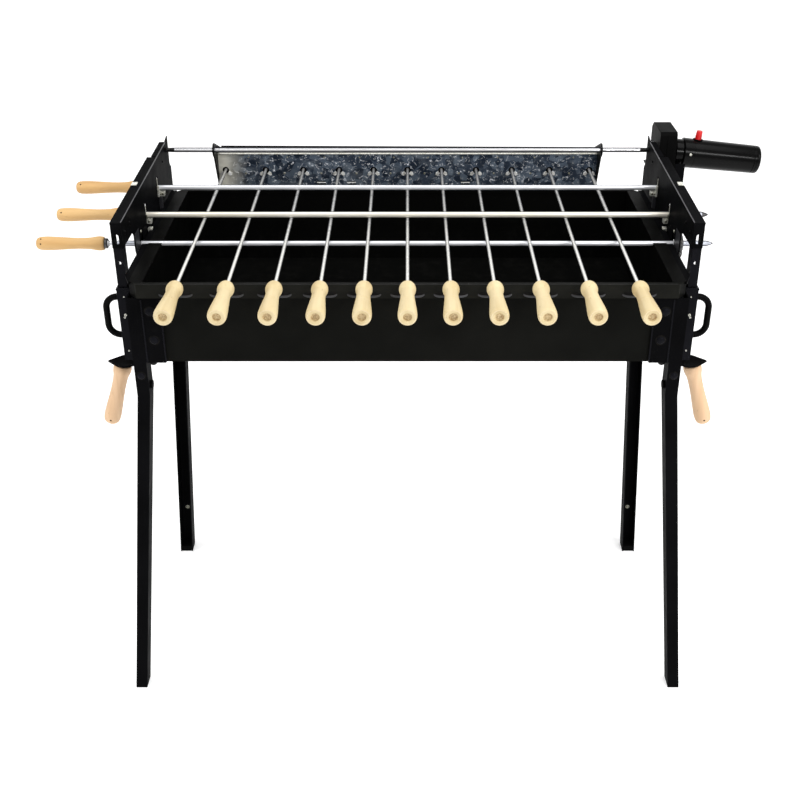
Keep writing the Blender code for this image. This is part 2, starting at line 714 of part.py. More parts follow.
def barrel_point(along, up=0.0):
    droop = BARREL_DROOP
    axis = Vector((math.cos(droop), 0, -math.sin(droop)))
    normal = Vector((math.sin(droop), 0, math.cos(droop)))
    return Vector(BARREL_START) + axis * along + normal * up, axis, normal


def make_gearbox():
    """A block with its upper front and rear edges cut off."""
    (y0, y1), (z0, z1), cut = GEARBOX_Y, GEARBOX_Z, GEARBOX_CHAMFER
    outline = [(y0, z0), (y1, z0), (y1, z1 - cut), (y1 - cut, z1), (y0 + cut / 2, z1), (y0, z1 - cut / 2)]
    return prism("motor_gearbox", outline, "x", GEARBOX_X)


def make_bracket():
    """An angle under the gearbox, fixed on the motor side's plate."""
    y0, y1 = GEARBOX_Y[0] + BRACKET_SET, GEARBOX_Y[1] - BRACKET_SET
    top = GEARBOX_Z[0] - GAP
    sheet = BRACKET_SHEET
    outline = [(y0, BRACKET_BASE), (y0 + sheet, BRACKET_BASE), (y0 + sheet, top - sheet)]
    outline += [(y1, top - sheet), (y1, top), (y0, top)]
    return prism("motor_bracket", outline, "x", (PLATE_X + PLATE_SHEET + GAP, BRACKET_END))


def make_barrel():
    start, axis, normal = barrel_point(0.0)
    length = BARREL_LENGTH - CAP_LENGTH
    end_radius = BARREL_RADIUS + (BARREL_END_RADIUS - BARREL_RADIUS) * length / BARREL_LENGTH
    profile = [
        (0.0025, NECK_RADIUS), (NECK_LENGTH, NECK_RADIUS), (NECK_LENGTH + 0.0015, BARREL_RADIUS),
        (length, end_radius),
    ]
    barrel = turned("motor_barrel", start, axis, profile, 28)
    floor, axis, normal = barrel_point(SWITCH_ALONG, BARREL_RADIUS - SWITCH_POCKET)
    radius = SWITCH_RADIUS + SWITCH_PLAY
    pocket = turned("pocket", floor, normal, [(0.0, radius), (SWITCH_POCKET + OVERCUT, radius)], 14)
    return combine(barrel, pocket, "DIFFERENCE")


def make_end_cap():
    length = BARREL_LENGTH - CAP_LENGTH
    start, axis, normal = barrel_point(length + GAP)
    profile = [
        (0.0, BARREL_END_RADIUS), (CAP_LENGTH - 0.004, BARREL_END_RADIUS),
        (CAP_LENGTH - 0.001, BARREL_END_RADIUS - 0.0015), (CAP_LENGTH, BARREL_END_RADIUS - 0.0045),
    ]
    return turned("motor_end_cap", start, axis, profile, 28)


def make_switch(parent, materials):
    """The push switch stands in its pocket, with room below it for its stroke."""
    up = BARREL_RADIUS - SWITCH_POCKET + SWITCH_FLOOR_GAP
    floor, axis, normal = barrel_point(SWITCH_ALONG, up)
    radius, height, edge = SWITCH_RADIUS, SWITCH_HEIGHT, 0.001
    profile = [(0.0, radius), (height - edge, radius), (height, radius - edge)]
    switch = turned("power_switch", floor, normal, profile, 16)
    hang(dress(switch, materials["switch_red"]), parent, floor)


# ---- assembly ------------------------------------------------------------------------------

def add_pair(stem, make, parent, material, origin=None):
    """Makes the right-hand piece, and its mirror image on the left."""
    right = make(f"{stem}_right")
    left = mirrored(f"{stem}_left", right)
    for side, obj in ((1, right), (-1, left)):
        point = (side * origin[0], origin[1], origin[2]) if origin else None
        hang(dress(obj, material), parent, point)


def build_stand(root, materials):
    black = materials["powder_black"]
    hang(dress(make_trough(), black), root)
    for row in LEGS:
        add_pair(f"leg_{row}", lambda name, row=row: make_leg(name, row), root, black)
    add_pair("sleeve", make_sleeve, root, black)
    add_pair("carry_handle", make_carry_handle, root, black)
    pivot = (LATCH_PIVOT[0], 0.5 * (STRUT_Y[0] + STRUT_Y[1]), LATCH_PIVOT[1])
    add_pair("latch_plate", make_latch_plate, root, black, pivot)
    add_pair("latch_grip", make_latch_grip, root, materials["lever_wood"], pivot)


def build_lift_frame(root, materials):
    black = materials["powder_black"]
    frame = empty("lift_frame_origin", root)
    add_pair("side_plate", make_side_plate, frame, black)
    add_pair("strut", make_strut, frame, black)
    for row in SPITS:
        make_spit(row, frame, materials)
    make_drive_rod(frame, materials)
    hang(dress(make_chain(), materials["gear_steel"]), frame)
    hang(dress(make_housing_front(), materials["galvanised"]), frame)
    hang(dress(make_housing_back(), black), frame)
    hang(dress(make_worm_shaft(), materials["gear_steel"]), frame, (0, WORM_SHAFT_Y, WORM_SHAFT_Z))
    for number, step in enumerate(skewer_steps(), 1):
        make_skewer(number, step, frame, materials)
    hang(dress(make_bracket(), black), frame)
    for obj in (make_gearbox(), make_barrel(), make_end_cap()):
        hang(dress(obj, materials["motor_black"]), frame)
    make_switch(frame, materials)


def centre_on_floor(root):
    """Moves the whole model so that its box is centred on the Z axis and stands on Z = 0."""
    bpy.context.view_layer.update()
    corners = [o.matrix_world @ v.co for o in bpy.data.objects if o.type == "MESH" for v in o.data.vertices]
    middle = [0.5 * (min(p[i] for p in corners) + max(p[i] for p in corners)) for i in (0, 1)]
    root.location = (-middle[0], -middle[1], -min(p.z for p in corners))


def main():
    clear_scene()
    materials = make_materials()
    root = empty("grill_origin")
    build_stand(root, materials)
    build_lift_frame(root, materials)
    centre_on_floor(root)


main()
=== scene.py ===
"""Looks of the charcoal spit roaster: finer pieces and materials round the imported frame.

Metres, +Z up. Pieces are laid out from the middle of the trough's front face at floor level, as
place() does it, and take their sizes from the frame's own nodes.
"""

import json
from contextlib import contextmanager
from math import atan2, cos, dist, pi, radians, sin, tau

import bmesh
import bpy
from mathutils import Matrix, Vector


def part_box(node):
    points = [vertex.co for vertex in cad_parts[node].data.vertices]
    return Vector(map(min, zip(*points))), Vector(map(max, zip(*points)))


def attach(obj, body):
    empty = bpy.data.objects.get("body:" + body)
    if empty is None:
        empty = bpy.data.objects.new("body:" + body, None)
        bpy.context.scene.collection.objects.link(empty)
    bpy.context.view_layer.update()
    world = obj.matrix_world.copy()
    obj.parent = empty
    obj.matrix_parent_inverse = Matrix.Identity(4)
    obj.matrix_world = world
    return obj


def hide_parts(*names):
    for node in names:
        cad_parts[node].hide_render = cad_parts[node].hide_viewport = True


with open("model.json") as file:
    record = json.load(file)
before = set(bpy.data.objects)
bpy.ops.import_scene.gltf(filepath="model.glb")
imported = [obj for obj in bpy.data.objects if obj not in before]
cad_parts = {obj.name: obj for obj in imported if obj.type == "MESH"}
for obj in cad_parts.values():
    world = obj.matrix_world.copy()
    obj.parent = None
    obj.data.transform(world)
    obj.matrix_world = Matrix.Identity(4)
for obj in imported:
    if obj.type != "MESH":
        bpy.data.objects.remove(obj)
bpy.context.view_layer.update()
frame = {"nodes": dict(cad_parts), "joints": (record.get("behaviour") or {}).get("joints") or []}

# ---- places from the frame -----------------------------------------------------------------

TROUGH_LOW, TROUGH_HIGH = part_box("trough")
LIP_REACH = 0.004
ORIGIN = Vector((0.5 * (TROUGH_LOW.x + TROUGH_HIGH.x), TROUGH_LOW.y + LIP_REACH, 0.0))
LIP_FACE = TROUGH_LOW.y - ORIGIN.y
SIDES = (("left", -1), ("right", 1))
SPIT_ROWS = ("front", "middle", "rear")
SPROCKETS = [f"spit_sprocket_{row}" for row in SPIT_ROWS] + ["rod_sprocket"]
SKEWER_JOINTS = [joint for joint in frame["joints"] if joint["child"].startswith("skewer_")]

# Homes for pieces: a body and the record's material slot.
FRAME_BLACK = ("lift_frame", "powder_black")
FRAME_STEEL = ("lift_frame", "bright_steel")
FRAME_ZINC = ("lift_frame", "galvanised")
FRAME_GEAR = ("lift_frame", "gear_steel")
FRAME_MOTOR = ("lift_frame", "motor_black")
STAND_BLACK = ("root", "powder_black")
STAND_STEEL = ("root", "bright_steel")


def place(x, y, z):
    return ORIGIN + Vector((x, y, z))


def local_box(node):
    low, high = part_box(node)
    return low - ORIGIN, high - ORIGIN


def middle_of(node):
    return [0.5 * (a + b) for a, b in zip(*local_box(node))]


def reach_of(node):
    """How far a node's near and far ends are from the middle plane."""
    return sorted(abs(corner.x) for corner in local_box(node))


# ---- materials -----------------------------------------------------------------------------


class Graph:
    """A node material, built from short calls. base is its colour so far."""

    def __init__(self, name):
        self.material = bpy.data.materials.new(name)
        self.material.use_nodes = True
        self.tree = self.material.node_tree
        self.shader = self.tree.nodes["Principled BSDF"]
        self.coords = self.tree.nodes.new("ShaderNodeTexCoord").outputs["Object"]
        self.base = None

    def join(self, value, socket):
        if isinstance(value, bpy.types.NodeSocket):
            self.tree.links.new(value, socket)
        else:
            socket.default_value = value

    def node(self, kind, inputs, **settings):
        made = self.tree.nodes.new(kind)
        for key, value in settings.items():
            setattr(made, key, value)
        for key, value in inputs.items():
            self.join(value, made.inputs[key])
        return made

    def stretched(self, scale, turn=(0.0, 0.0, 0.0)):
        inputs = {"Vector": self.coords, "Scale": scale, "Rotation": turn}
        return self.node("ShaderNodeMapping", inputs).outputs[0]

    def noise(self, scale, vector=None, detail=3.0, rough=0.55):
        inputs = {"Vector": vector or self.coords, "Scale": scale, "Detail": detail, "Roughness": rough}
        return self.node("ShaderNodeTexNoise", inputs).outputs["Fac"]

    def cells(self, scale, output="Distance"):
        return self.node("ShaderNodeTexVoronoi", {"Vector": self.coords, "Scale": scale}).outputs[output]

    def ramp(self, value, low, high, out_low=0.0, out_high=1.0):
        inputs = {"Value": value, "From Min": low, "From Max": high, "To Min": out_low, "To Max": out_high}
        return self.node("ShaderNodeMapRange", inputs).outputs["Result"]

    def spread(self, scale, low, high, out_low=0.0, out_high=1.0, **noise):
        """Noise, taken from between low and high to between the two out values."""
        return self.ramp(self.noise(scale, **noise), low, high, out_low, out_high)

    def maths(self, operation, a, b=0.0):
        return self.node("ShaderNodeMath", {0: a, 1: b}, operation=operation).outputs[0]

    def times(self, a, b):
        return self.maths("MULTIPLY", a, b)

    def colours(self, value, stops):
        made = self.node("ShaderNodeValToRGB", {"Fac": value})
        elements = made.color_ramp.elements
        while len(elements) < len(stops):
            elements.new(0.5)
        for element, (position, colour) in zip(elements, stops):
            element.position = position
            element.color = (*colour, 1.0)
        return made.outputs["Color"]

    def mix(self, factor, a, b):
        made = self.node("ShaderNodeMix", {"Factor": factor}, data_type="RGBA")
        for value, socket in ((a, made.inputs[6]), (b, made.inputs[7])):
            self.join(value if isinstance(value, bpy.types.NodeSocket) else (*value, 1.0), socket)
        return made.outputs[2]

    def mottle(self, scale, dark, light, detail=3.0):
        """Starts the base as soft clouds between two tones."""
        self.base = self.mix(self.spread(scale, 0.35, 0.7, detail=detail), dark, light)

    def over(self, factor, colour):
        """Lays a colour over the base."""
        self.base = self.mix(factor, self.base, colour)

    def bump(self, height, strength, distance, under=None):
        inputs = {"Height": height, "Strength": strength, "Distance": distance}
        if under:
            inputs["Normal"] = under
        return self.node("ShaderNodeBump", inputs).outputs["Normal"]

    def orange_peel(self):
        return self.bump(self.noise(1150.0, detail=1.0), 0.1, 0.0004)

    def finish(self, **inputs):
        for key, value in {"Base_Color": self.base, **inputs}.items():
            if isinstance(value, tuple):
                value = (*value, 1.0)
            self.join(value, self.shader.inputs[key.replace("_", " ")])
        return self.material


def add_object(name, data):
    made = bpy.data.objects.new(name, data)
    bpy.context.scene.collection.objects.link(made)
    return made


def shade(colour, factor):
    return tuple(c * factor for c in colour)


def powder_coat(name, tone=0.003, roughness=0.36, blue=1.0, shine=0.03):
    """Semi-gloss black powder coat: orange peel, faint dust, and worn spots."""
    g = Graph(name)
    dark = (tone * 0.75, tone * 0.75, tone * 0.75 * blue)
    light = (tone * 1.25, tone * 1.25, tone * 1.3 * blue)
    g.mottle(9.0, dark, light, 4.0)
    g.over(g.spread(70.0, 0.62, 0.8, 0.0, 0.3, detail=6.0, rough=0.7), (0.016, 0.0155, 0.0145))
    rough = g.spread(24.0, 0.3, 0.75, roughness - 0.05, roughness + 0.09, detail=5.0)
    wave = g.bump(g.noise(30.0, detail=2.0), 0.05, 0.004, g.orange_peel())
    return g.finish(Roughness=rough, Normal=wave, Specular_IOR_Level=shine)


def drawn_steel(name, colour, stretch, roughness, warm=0.0, rim=(0.3, 0.5, 0.95), mirror=0.4):
    """Bright drawn bar: fine lines, dull handling marks, a little heat colour, and painted dark reflection
    along its edges.

    rim is where the painted edge shade starts and ends, by how far the surface turns away, and its strength.
    """
    g = Graph(name)
    g.base = g.mix(g.spread(16.0, 0.4, 0.72, 0.0, 0.5, detail=4.0), colour, shade(colour, 0.86))
    if warm:
        straw = (colour[0] * 0.98, colour[1] * 0.86, colour[2] * 0.58)
        g.over(g.spread(5.0, 0.3, 0.62, 0.15 * warm, warm, detail=2.0), straw)
    along = g.stretched(tuple(v * v * v for v in stretch))
    g.over(g.spread(520.0, 0.3, 0.7, 0.0, 0.06, vector=along, detail=2.0), (0.3, 0.3, 0.3))
    rough = g.spread(60.0, 0.3, 0.7, roughness - 0.03, roughness + 0.05, detail=5.0)
    # Painted shade: the colour darkens where the surface turns away from view, standing in for dark
    # reflections at the bar's edges.
    facing = g.node("ShaderNodeLayerWeight", {"Blend": 0.5}).outputs["Facing"]
    edge = g.ramp(facing, rim[0], rim[1], 0.0, rim[2])
    g.over(edge, (0.03, 0.032, 0.04))
    metal = g.ramp(edge, 0.0, 1.0, mirror, 0.0)
    shine = g.ramp(edge, 0.0, 1.0, 0.5, 0.0)
    return g.finish(Roughness=rough, Metallic=metal, Specular_IOR_Level=shine)


def galvanised_sheet(name):
    """Zinc-coated sheet: blue-grey spangle, bright rubbed patches, scratches and a creamy end."""
    g = Graph(name)
    grey = g.node("ShaderNodeRGBToBW", {"Color": g.cells(95.0, "Color")}).outputs[0]
    stops = ((0.15, (0.045, 0.065, 0.105)), (0.55, (0.1, 0.135, 0.195)), (0.9, (0.23, 0.29, 0.37)))
    g.base = g.colours(grey, stops)
    cloud = g.noise(26.0, g.stretched((1.0, 1.0, 1.6)), detail=6.0, rough=0.65)
    g.over(g.ramp(cloud, 0.5, 0.74, 0.0, 0.55), (0.46, 0.53, 0.61))
    fleck = g.noise(150.0, g.stretched((0.7, 1.0, 1.5), (0.0, 0.7, 0.0)), detail=5.0, rough=0.8)
    patches = g.ramp(fleck, 0.595, 0.635, 0.0, 0.95)
    g.over(patches, (0.93, 0.96, 1.0))
    curl = g.maths("ABSOLUTE", g.maths("SUBTRACT", g.noise(75.0, detail=2.0), 0.5))
    scratch = g.times(g.ramp(curl, 0.005, 0.016, 1.0, 0.0), g.spread(130.0, 0.5, 0.56))
    g.over(scratch, (0.92, 0.95, 1.0))
    left_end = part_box("gear_housing_front")[0].x
    along = g.node("ShaderNodeSeparateXYZ", {"Vector": g.coords}).outputs["X"]
    along = g.maths("ADD", along, g.spread(40.0, 0.0, 1.0, -0.012, 0.012))
    cream = g.ramp(along, left_end + 0.012, left_end + 0.05, 0.95, 0.0)
    g.over(cream, (0.93, 0.9, 0.78))
    pale = g.maths("MAXIMUM", g.maths("MAXIMUM", patches, scratch), g.times(cream, 0.6))
    normal = g.bump(cloud, 0.2, 0.001, g.bump(scratch, 0.15, 0.0004))
    metal = g.ramp(pale, 0.0, 1.0, 0.8, 0.15)
    return g.finish(Roughness=g.ramp(grey, 0.2, 0.8, 0.3, 0.44), Normal=normal, Metallic=metal)


def turned_wood(name, stretch, turn, pale, mid, dark, roughness=0.5):
    """Turned beech: fibres along the grip, broad tone bands, short dark flecks and turning marks."""
    g = Graph(name)
    along = g.stretched(stretch, turn)
    fibre = g.noise(210.0, along, detail=5.0, rough=0.65)
    g.base = g.colours(g.spread(44.0, 0.3, 0.72, vector=along), ((0.0, pale), (0.55, mid), (1.0, dark)))
    g.over(g.ramp(fibre, 0.42, 0.72, 0.0, 0.35), shade(mid, 0.8))
    g.over(g.spread(7.0, 0.35, 0.7, 0.0, 0.45, detail=2.0), shade(pale, 1.04))
    short = g.stretched(tuple(v * 0.8 + 0.1 for v in stretch), turn)
    g.over(g.spread(420.0, 0.68, 0.76, 0.0, 0.5, vector=short, detail=2.0), shade(dark, 0.62))
    rough = g.ramp(fibre, 0.3, 0.7, roughness - 0.06, roughness + 0.1)
    return g.finish(Roughness=rough, Normal=g.bump(fibre, 0.22, 0.0006), Specular_IOR_Level=0.35)


def end_grain(name, pale, dark):
    """Sawn end grain: rings, pores and a stained middle."""
    g = Graph(name)
    rings = g.noise(520.0, detail=4.0)
    g.base = g.colours(g.ramp(rings, 0.35, 0.68), ((0.0, dark), (1.0, pale)))
    g.over(g.ramp(g.cells(900.0), 0.0, 0.35, 0.5, 0.0), shade(dark, 0.5))
    return g.finish(Roughness=0.75, Normal=g.bump(rings, 0.5, 0.0008), Specular_IOR_Level=0.2)


def moulded_black(name, tone=0.0022, roughness=0.17, shine=0.085):
    """Satin moulded casing: fine texture, faint flow marks and rubbed edges."""
    g = Graph(name)
    g.mottle(14.0, (tone * 0.8,) * 3, (tone * 1.35,) * 3, 4.0)
    flow = g.stretched((0.25, 1.0, 1.0), (0.0, 0.1, 0.0))
    scuff = g.spread(180.0, 0.68, 0.8, 0.0, 0.3, vector=flow, detail=4.0, rough=0.7)
    g.over(scuff, (0.014, 0.014, 0.014))
    rough = g.spread(35.0, 0.3, 0.7, roughness - 0.03, roughness + 0.05, detail=4.0)
    normal = g.bump(g.noise(1600.0, detail=1.0), 0.06, 0.0002)
    return g.finish(Roughness=rough, Normal=normal, Specular_IOR_Level=shine)


def red_plastic(name):
    g = Graph(name)
    g.mottle(120.0, (0.52, 0.005, 0.007), (0.66, 0.011, 0.011))
    normal = g.bump(g.noise(1300.0, detail=1.0), 0.1, 0.0003)
    return g.finish(Roughness=g.spread(200.0, 0.3, 0.7, 0.26, 0.38), Normal=normal)


def oily_steel(name, tone=0.16):
    """Gear and chain steel with oil film and grime."""
    g = Graph(name)
    grime = g.spread(110.0, 0.42, 0.68, detail=5.0, rough=0.7)
    g.base = g.mix(grime, (tone, tone, tone * 1.03), (tone * 0.35, tone * 0.32, tone * 0.28))
    rough = g.spread(150.0, 0.3, 0.7, 0.26, 0.52, detail=4.0)
    return g.finish(Roughness=rough, Normal=g.bump(g.noise(700.0), 0.18, 0.0004), Metallic=0.95)


def bright_zinc(name, tone, yellow, metal=0.9):
    """Zinc-plated hardware: small stains and a fine crystalline grain."""
    g = Graph(name)
    stain = g.spread(230.0, 0.38, 0.7, 0.0, 0.8, detail=4.0)
    g.base = g.mix(stain, (tone, tone, tone * yellow), (tone * 0.52, tone * 0.5, tone * 0.42 * yellow))
    rough = g.spread(420.0, 0.3, 0.7, 0.22, 0.42)
    return g.finish(Roughness=rough, Normal=g.bump(g.cells(1500.0), 0.12, 0.0003), Metallic=metal)


def recess_painted_shade(name):
    """Painted shade for the inside of a drilled or pressed hole: near black, with a faint sooty mottle."""
    g = Graph(name)
    g.mottle(160.0, (0.002, 0.002, 0.002), (0.008, 0.007, 0.006))
    normal = g.bump(g.noise(600.0, detail=2.0), 0.2, 0.0004)
    return g.finish(Roughness=0.8, Normal=normal, Specular_IOR_Level=0.1)


def tray_black(name):
    """The trough: powder coat, a painted highlight on the front of the lip, painted shade on everything
    behind the front face, and a duller skin with ash bloom inside.
    """
    g = Graph(name)
    g.mottle(8.0, (0.005, 0.0051, 0.0045), (0.0074, 0.0075, 0.0066), 5.0)
    spot = g.node("ShaderNodeSeparateXYZ", {"Vector": g.coords}).outputs
    inside = g.ramp(spot["Y"], ORIGIN.y + 0.0028, ORIGIN.y + 0.0035)
    # Painted shade: everything behind the front face is darkened.
    g.over(g.times(inside, 0.7), (0.0016, 0.0016, 0.0016))
    low = g.ramp(spot["Z"], TROUGH_LOW.z + 0.1, TROUGH_LOW.z + 0.04)
    bloom = g.spread(55.0, 0.5, 0.78, 0.0, 0.4, detail=7.0, rough=0.7)
    soot = g.times(g.times(inside, low), bloom)
    g.over(soot, (0.012, 0.0115, 0.0105))
    # A painted highlight along the front of the rolled lip, made patchy by noise.
    lip_front = g.ramp(spot["Y"], ORIGIN.y - 0.0012, ORIGIN.y - 0.0022)
    lip_highlight = g.times(lip_front, g.ramp(spot["Z"], TROUGH_HIGH.z - 0.0222, TROUGH_HIGH.z - 0.0218))
    lip_highlight_patchiness = g.spread(60.0, 0.35, 0.7, 0.55, 1.0, vector=g.stretched((0.3, 1.0, 1.0)), detail=5.0)
    g.over(g.times(lip_highlight, lip_highlight_patchiness), (0.0125, 0.0125, 0.0108))
    rough = g.maths("ADD", g.spread(22.0, 0.3, 0.75, 0.34, 0.48, detail=5.0), g.times(soot, 0.3))
    dent = g.bump(g.noise(11.0, detail=2.0), 0.04, 0.006, g.orange_peel())
    return g.finish(Roughness=rough, Normal=dent, Specular_IOR_Level=0.012)


ALONG_X, ALONG_Y, ALONG_Z = (0.07, 1.0, 1.0), (1.0, 0.07, 1.0), (1.0, 1.0, 0.07)
UNTURNED = (0.0, 0.0, 0.0)
LEVER_LEAN = radians(16.5)
CREAM = ((0.7, 0.585, 0.355), (0.62, 0.495, 0.27), (0.48, 0.35, 0.165))
TAN = ((0.72, 0.475, 0.215), (0.64, 0.39, 0.155), (0.49, 0.27, 0.1))
PINK = ((0.78, 0.535, 0.335), (0.7, 0.455, 0.265), (0.56, 0.335, 0.175))

RECIPES = {
    "coat": (powder_coat,),
    "coat_blue": (powder_coat, 0.0052, 0.34, 1.35, 0.04),
    "coat_plate": (powder_coat, 0.0036, 0.4, 1.1, 0.003),
    "coat_rough": (powder_coat, 0.005, 0.3, 1.0, 0.1),
    # The next three are lighter copies of the black coat: painted highlights for lit edges, slot rims and
    # folds.
    "coat_edge": (powder_coat, 0.022, 0.38, 1.1, 0.12),
    "coat_slot": (powder_coat, 0.048, 0.36, 1.05, 0.1),
    "coat_fold": (powder_coat, 0.08, 0.4, 1.05, 0.2),
    "tray": (tray_black,),
    "steel": (drawn_steel, (0.8, 0.81, 0.84), ALONG_X, 0.32),
    "steel_end": (drawn_steel, (0.5, 0.52, 0.58), ALONG_X, 0.3, 0.0, (0.22, 0.42, 1.0)),
    "steel_warm": (drawn_steel, (0.84, 0.82, 0.76), ALONG_X, 0.32, 0.4),
    "steel_skewer": (drawn_steel, (0.9, 0.9, 0.88), ALONG_Y, 0.26, 0.15, (0.52, 0.76, 0.92)),
    "chrome": (drawn_steel, (0.88, 0.88, 0.9), ALONG_X, 0.14, 0.0, (0.09, 0.21, 1.0), 0.7),
    "rod_end": (oily_steel, 0.035),
    "galvanised": (galvanised_sheet,),
    "cream": (turned_wood, ALONG_Y, UNTURNED, *CREAM),
    "tan": (turned_wood, ALONG_X, UNTURNED, *TAN),
    "pink_left": (turned_wood, ALONG_Z, (0.0, -LEVER_LEAN, 0.0), *PINK),
    "pink_right": (turned_wood, ALONG_Z, (0.0, LEVER_LEAN, 0.0), *PINK),
    "cream_end": (end_grain, (0.7, 0.56, 0.33), (0.36, 0.24, 0.115)),
    "cream_face": (end_grain, (0.78, 0.66, 0.47), (0.66, 0.53, 0.35)),
    # Near-black end grain: painted shade on the walls of the grips' drilled holes.
    "tan_end": (end_grain, (0.1, 0.055, 0.02), (0.025, 0.014, 0.008)),
    "motor": (moulded_black,),
    "motor_box": (moulded_black, 0.0032, 0.34, 0.006),
    "red": (red_plastic,),
    "gear": (oily_steel,),
    "ferrule": (oily_steel, 0.1),
    "zinc": (bright_zinc, 0.85, 0.92, 0.6),
    "zinc_dull": (bright_zinc, 0.45, 0.85),
    "zinc_bright": (bright_zinc, 1.0, 0.98, 0.25),
    # The hole material is painted shade: the black seen in holes, slot mouths, vents, cross slots, washer
    # rings and behind the housing's sockets.
    "hole": (recess_painted_shade,),
}
M = {name: maker(name, *values) for name, (maker, *values) in RECIPES.items()}

# ---- mesh building -------------------------------------------------------------------------


def frame_of(direction):
    """A turn that takes Z to the direction."""
    return Vector(direction).normalized().to_track_quat("Z", "Y").to_matrix()


def circle(spot, turn, radius, along, segments):
    """Points round the axis that turn sets, at a distance along it."""
    angles = [tau * i / segments for i in range(segments)]
    return [spot + turn @ Vector((radius * cos(a), radius * sin(a), along)) for a in angles]


def arc(centre, radius, segments, start, sweep):
    """Points of an arc in a plane, both ends included."""
    angles = [start + sweep * i / segments for i in range(segments + 1)]
    return [(centre[0] + radius * cos(a), centre[1] + radius * sin(a)) for a in angles]


def disc(centre, radius, segments):
    return arc(centre, radius, segments, 0.0, tau)[:-1]


def smoothed(shape, length, radius, steps=4):
    """A turned outline: shape's shares of length and radius, joined by a Catmull-Rom curve."""
    points = [(length * along, radius * across) for along, across in shape]
    made = []
    for i in range(len(points) - 1):
        a, b = points[max(i - 1, 0)], points[i]
        c, d = points[i + 1], points[min(i + 2, len(points) - 1)]
        for k in range(steps):
            t = k / steps
            made.append(tuple(
                0.5 * (2 * b[n] + (c[n] - a[n]) * t + (2 * a[n] - 5 * b[n] + 4 * c[n] - d[n]) * t * t
                       + (3 * b[n] - a[n] - 3 * c[n] + d[n]) * t ** 3)
                for n in (0, 1)
            ))
    made.append(points[-1])
    return made


class Shape:
    """A mesh in the making, and the forms that the pieces are made of."""

    def __init__(self):
        self.bm = bmesh.new()

    def mesh(self, name, sharp=32.0):
        bmesh.ops.recalc_face_normals(self.bm, faces=self.bm.faces)
        mesh = bpy.data.meshes.new(name)
        self.bm.to_mesh(mesh)
        self.bm.free()
        mesh.shade_smooth()
        mesh.set_sharp_from_angle(angle=radians(sharp))
        return mesh

    def skin(self, rings, material=0, capped=True, looped=False):
        """A skin through rings of points: its ends are closed, or the last ring joins the first."""
        loops = [[self.bm.verts.new(p) for p in ring] for ring in rings]
        count = len(loops[0])
        faces = []
        for low, high in zip(loops, loops[1:] + (loops[:1] if looped else [])):
            for i in range(count):
                j = (i + 1) % count
                faces.append(self.bm.faces.new((low[i], low[j], high[j], high[i])))
        if capped:
            faces += [self.bm.faces.new(loops[0]), self.bm.faces.new(loops[-1])]
        for face in faces:
            face.material_index = material

    def prism(self, outline, axis, span):
        """Extrudes an outline along axis. Its two values are the other axes in X, Y, Z order."""
        at = "xyz".index(axis)
        self.skin([[place(*p[:at], along, *p[at:]) for p in outline] for along in sorted(span)])

    def box(self, x_span, y_span, z_span):
        (x0, x1), (y0, y1) = sorted(x_span), y_span
        self.prism([(x0, y0), (x1, y0), (x1, y1), (x0, y1)], "z", z_span)

    def turned(self, start, direction, profile, segments, material=0, later=None):
        """Turns (distance, radius) about the axis. A radius of 0 closes the skin in a point.

        later is the row from which the material changes, and the material there.
        """
        turn = frame_of(direction)
        rows = []
        for along, radius in profile:
            points = circle(start, turn, radius, along, segments if radius > 0.0 else 1)
            rows.append([self.bm.verts.new(p) for p in points])
        for index, (low, high) in enumerate(zip(rows, rows[1:])):
            for i in range(segments):
                j = (i + 1) % segments
                corners = [low[0]] if len(low) == 1 else [low[i], low[j]]
                corners += [high[0]] if len(high) == 1 else [high[j], high[i]]
                face = self.bm.faces.new(corners)
                face.material_index = later[1] if later and index >= later[0] else material
        for row in (rows[0], rows[-1]):
            if len(row) > 1:
                self.bm.faces.new(row).material_index = material

    def ring(self, start, profile, segments, axis=(1, 0, 0)):
        """A closed ring: the profile is turned, and its last point joins its first."""
        turn = frame_of(axis)
        rings = [circle(start, turn, radius, along, segments) for along, radius in profile]
        self.skin(rings, capped=False, looped=True)

    def swept(self, path, radius, segments, side):
        """A round rod along points in a plane whose normal is side."""
        rings = []
        side = Vector(side)
        for i, point in enumerate(path):
            tangent = (path[min(i + 1, len(path) - 1)] - path[max(i - 1, 0)]).normalized()
            other = tangent.cross(side)
            angles = [tau * k / segments for k in range(segments)]
            rings.append([point + radius * (cos(a) * side + sin(a) * other) for a in angles])
        self.skin(rings)

    def bolt(self, spot, direction, radius, height, shade_ring_washer=False):
        """A round-headed bolt on its washer, which may take the second material: where that is the hole
        material, a ring of painted shade round the bolt.
        """
        thin = 0.12 * height
        if shade_ring_washer:
            under = [(-0.0002, radius * 1.3), (thin * 1.1, radius * 1.3)]
            self.turned(spot, direction, under, 24, 1)
        profile = [(-0.0004, radius * 1.28), (thin, radius * 1.28), (thin, radius)]
        for k in range(1, 7):
            angle = 0.5 * pi * k / 6
            across = radius * cos(angle) if k < 6 else 0.0
            profile.append((thin + (height - thin) * sin(angle), across))
        self.turned(spot, direction, profile, 24)

    def screw(self, spot, direction, radius, height):
        """A small pan head, with a raised cross in the second material, which in use is the hole material:
        painted shade for the cross slots.
        """
        profile = [(-0.0003, radius), (0.45 * height, radius), (0.85 * height, radius * 0.86),
                   (height, radius * 0.5)]
        self.turned(spot, direction, profile, 16)
        turn = frame_of(direction)
        arm, wide = radius * 0.55, radius * 0.13
        for across, along in ((arm, wide), (wide, arm)):
            ring = [(-across, -along), (across, -along), (across, along), (-across, along)]
            levels = (height * 0.9, height * 1.06)
            self.skin([[spot + turn @ Vector((x, y, z)) for x, y in ring] for z in levels], 1)


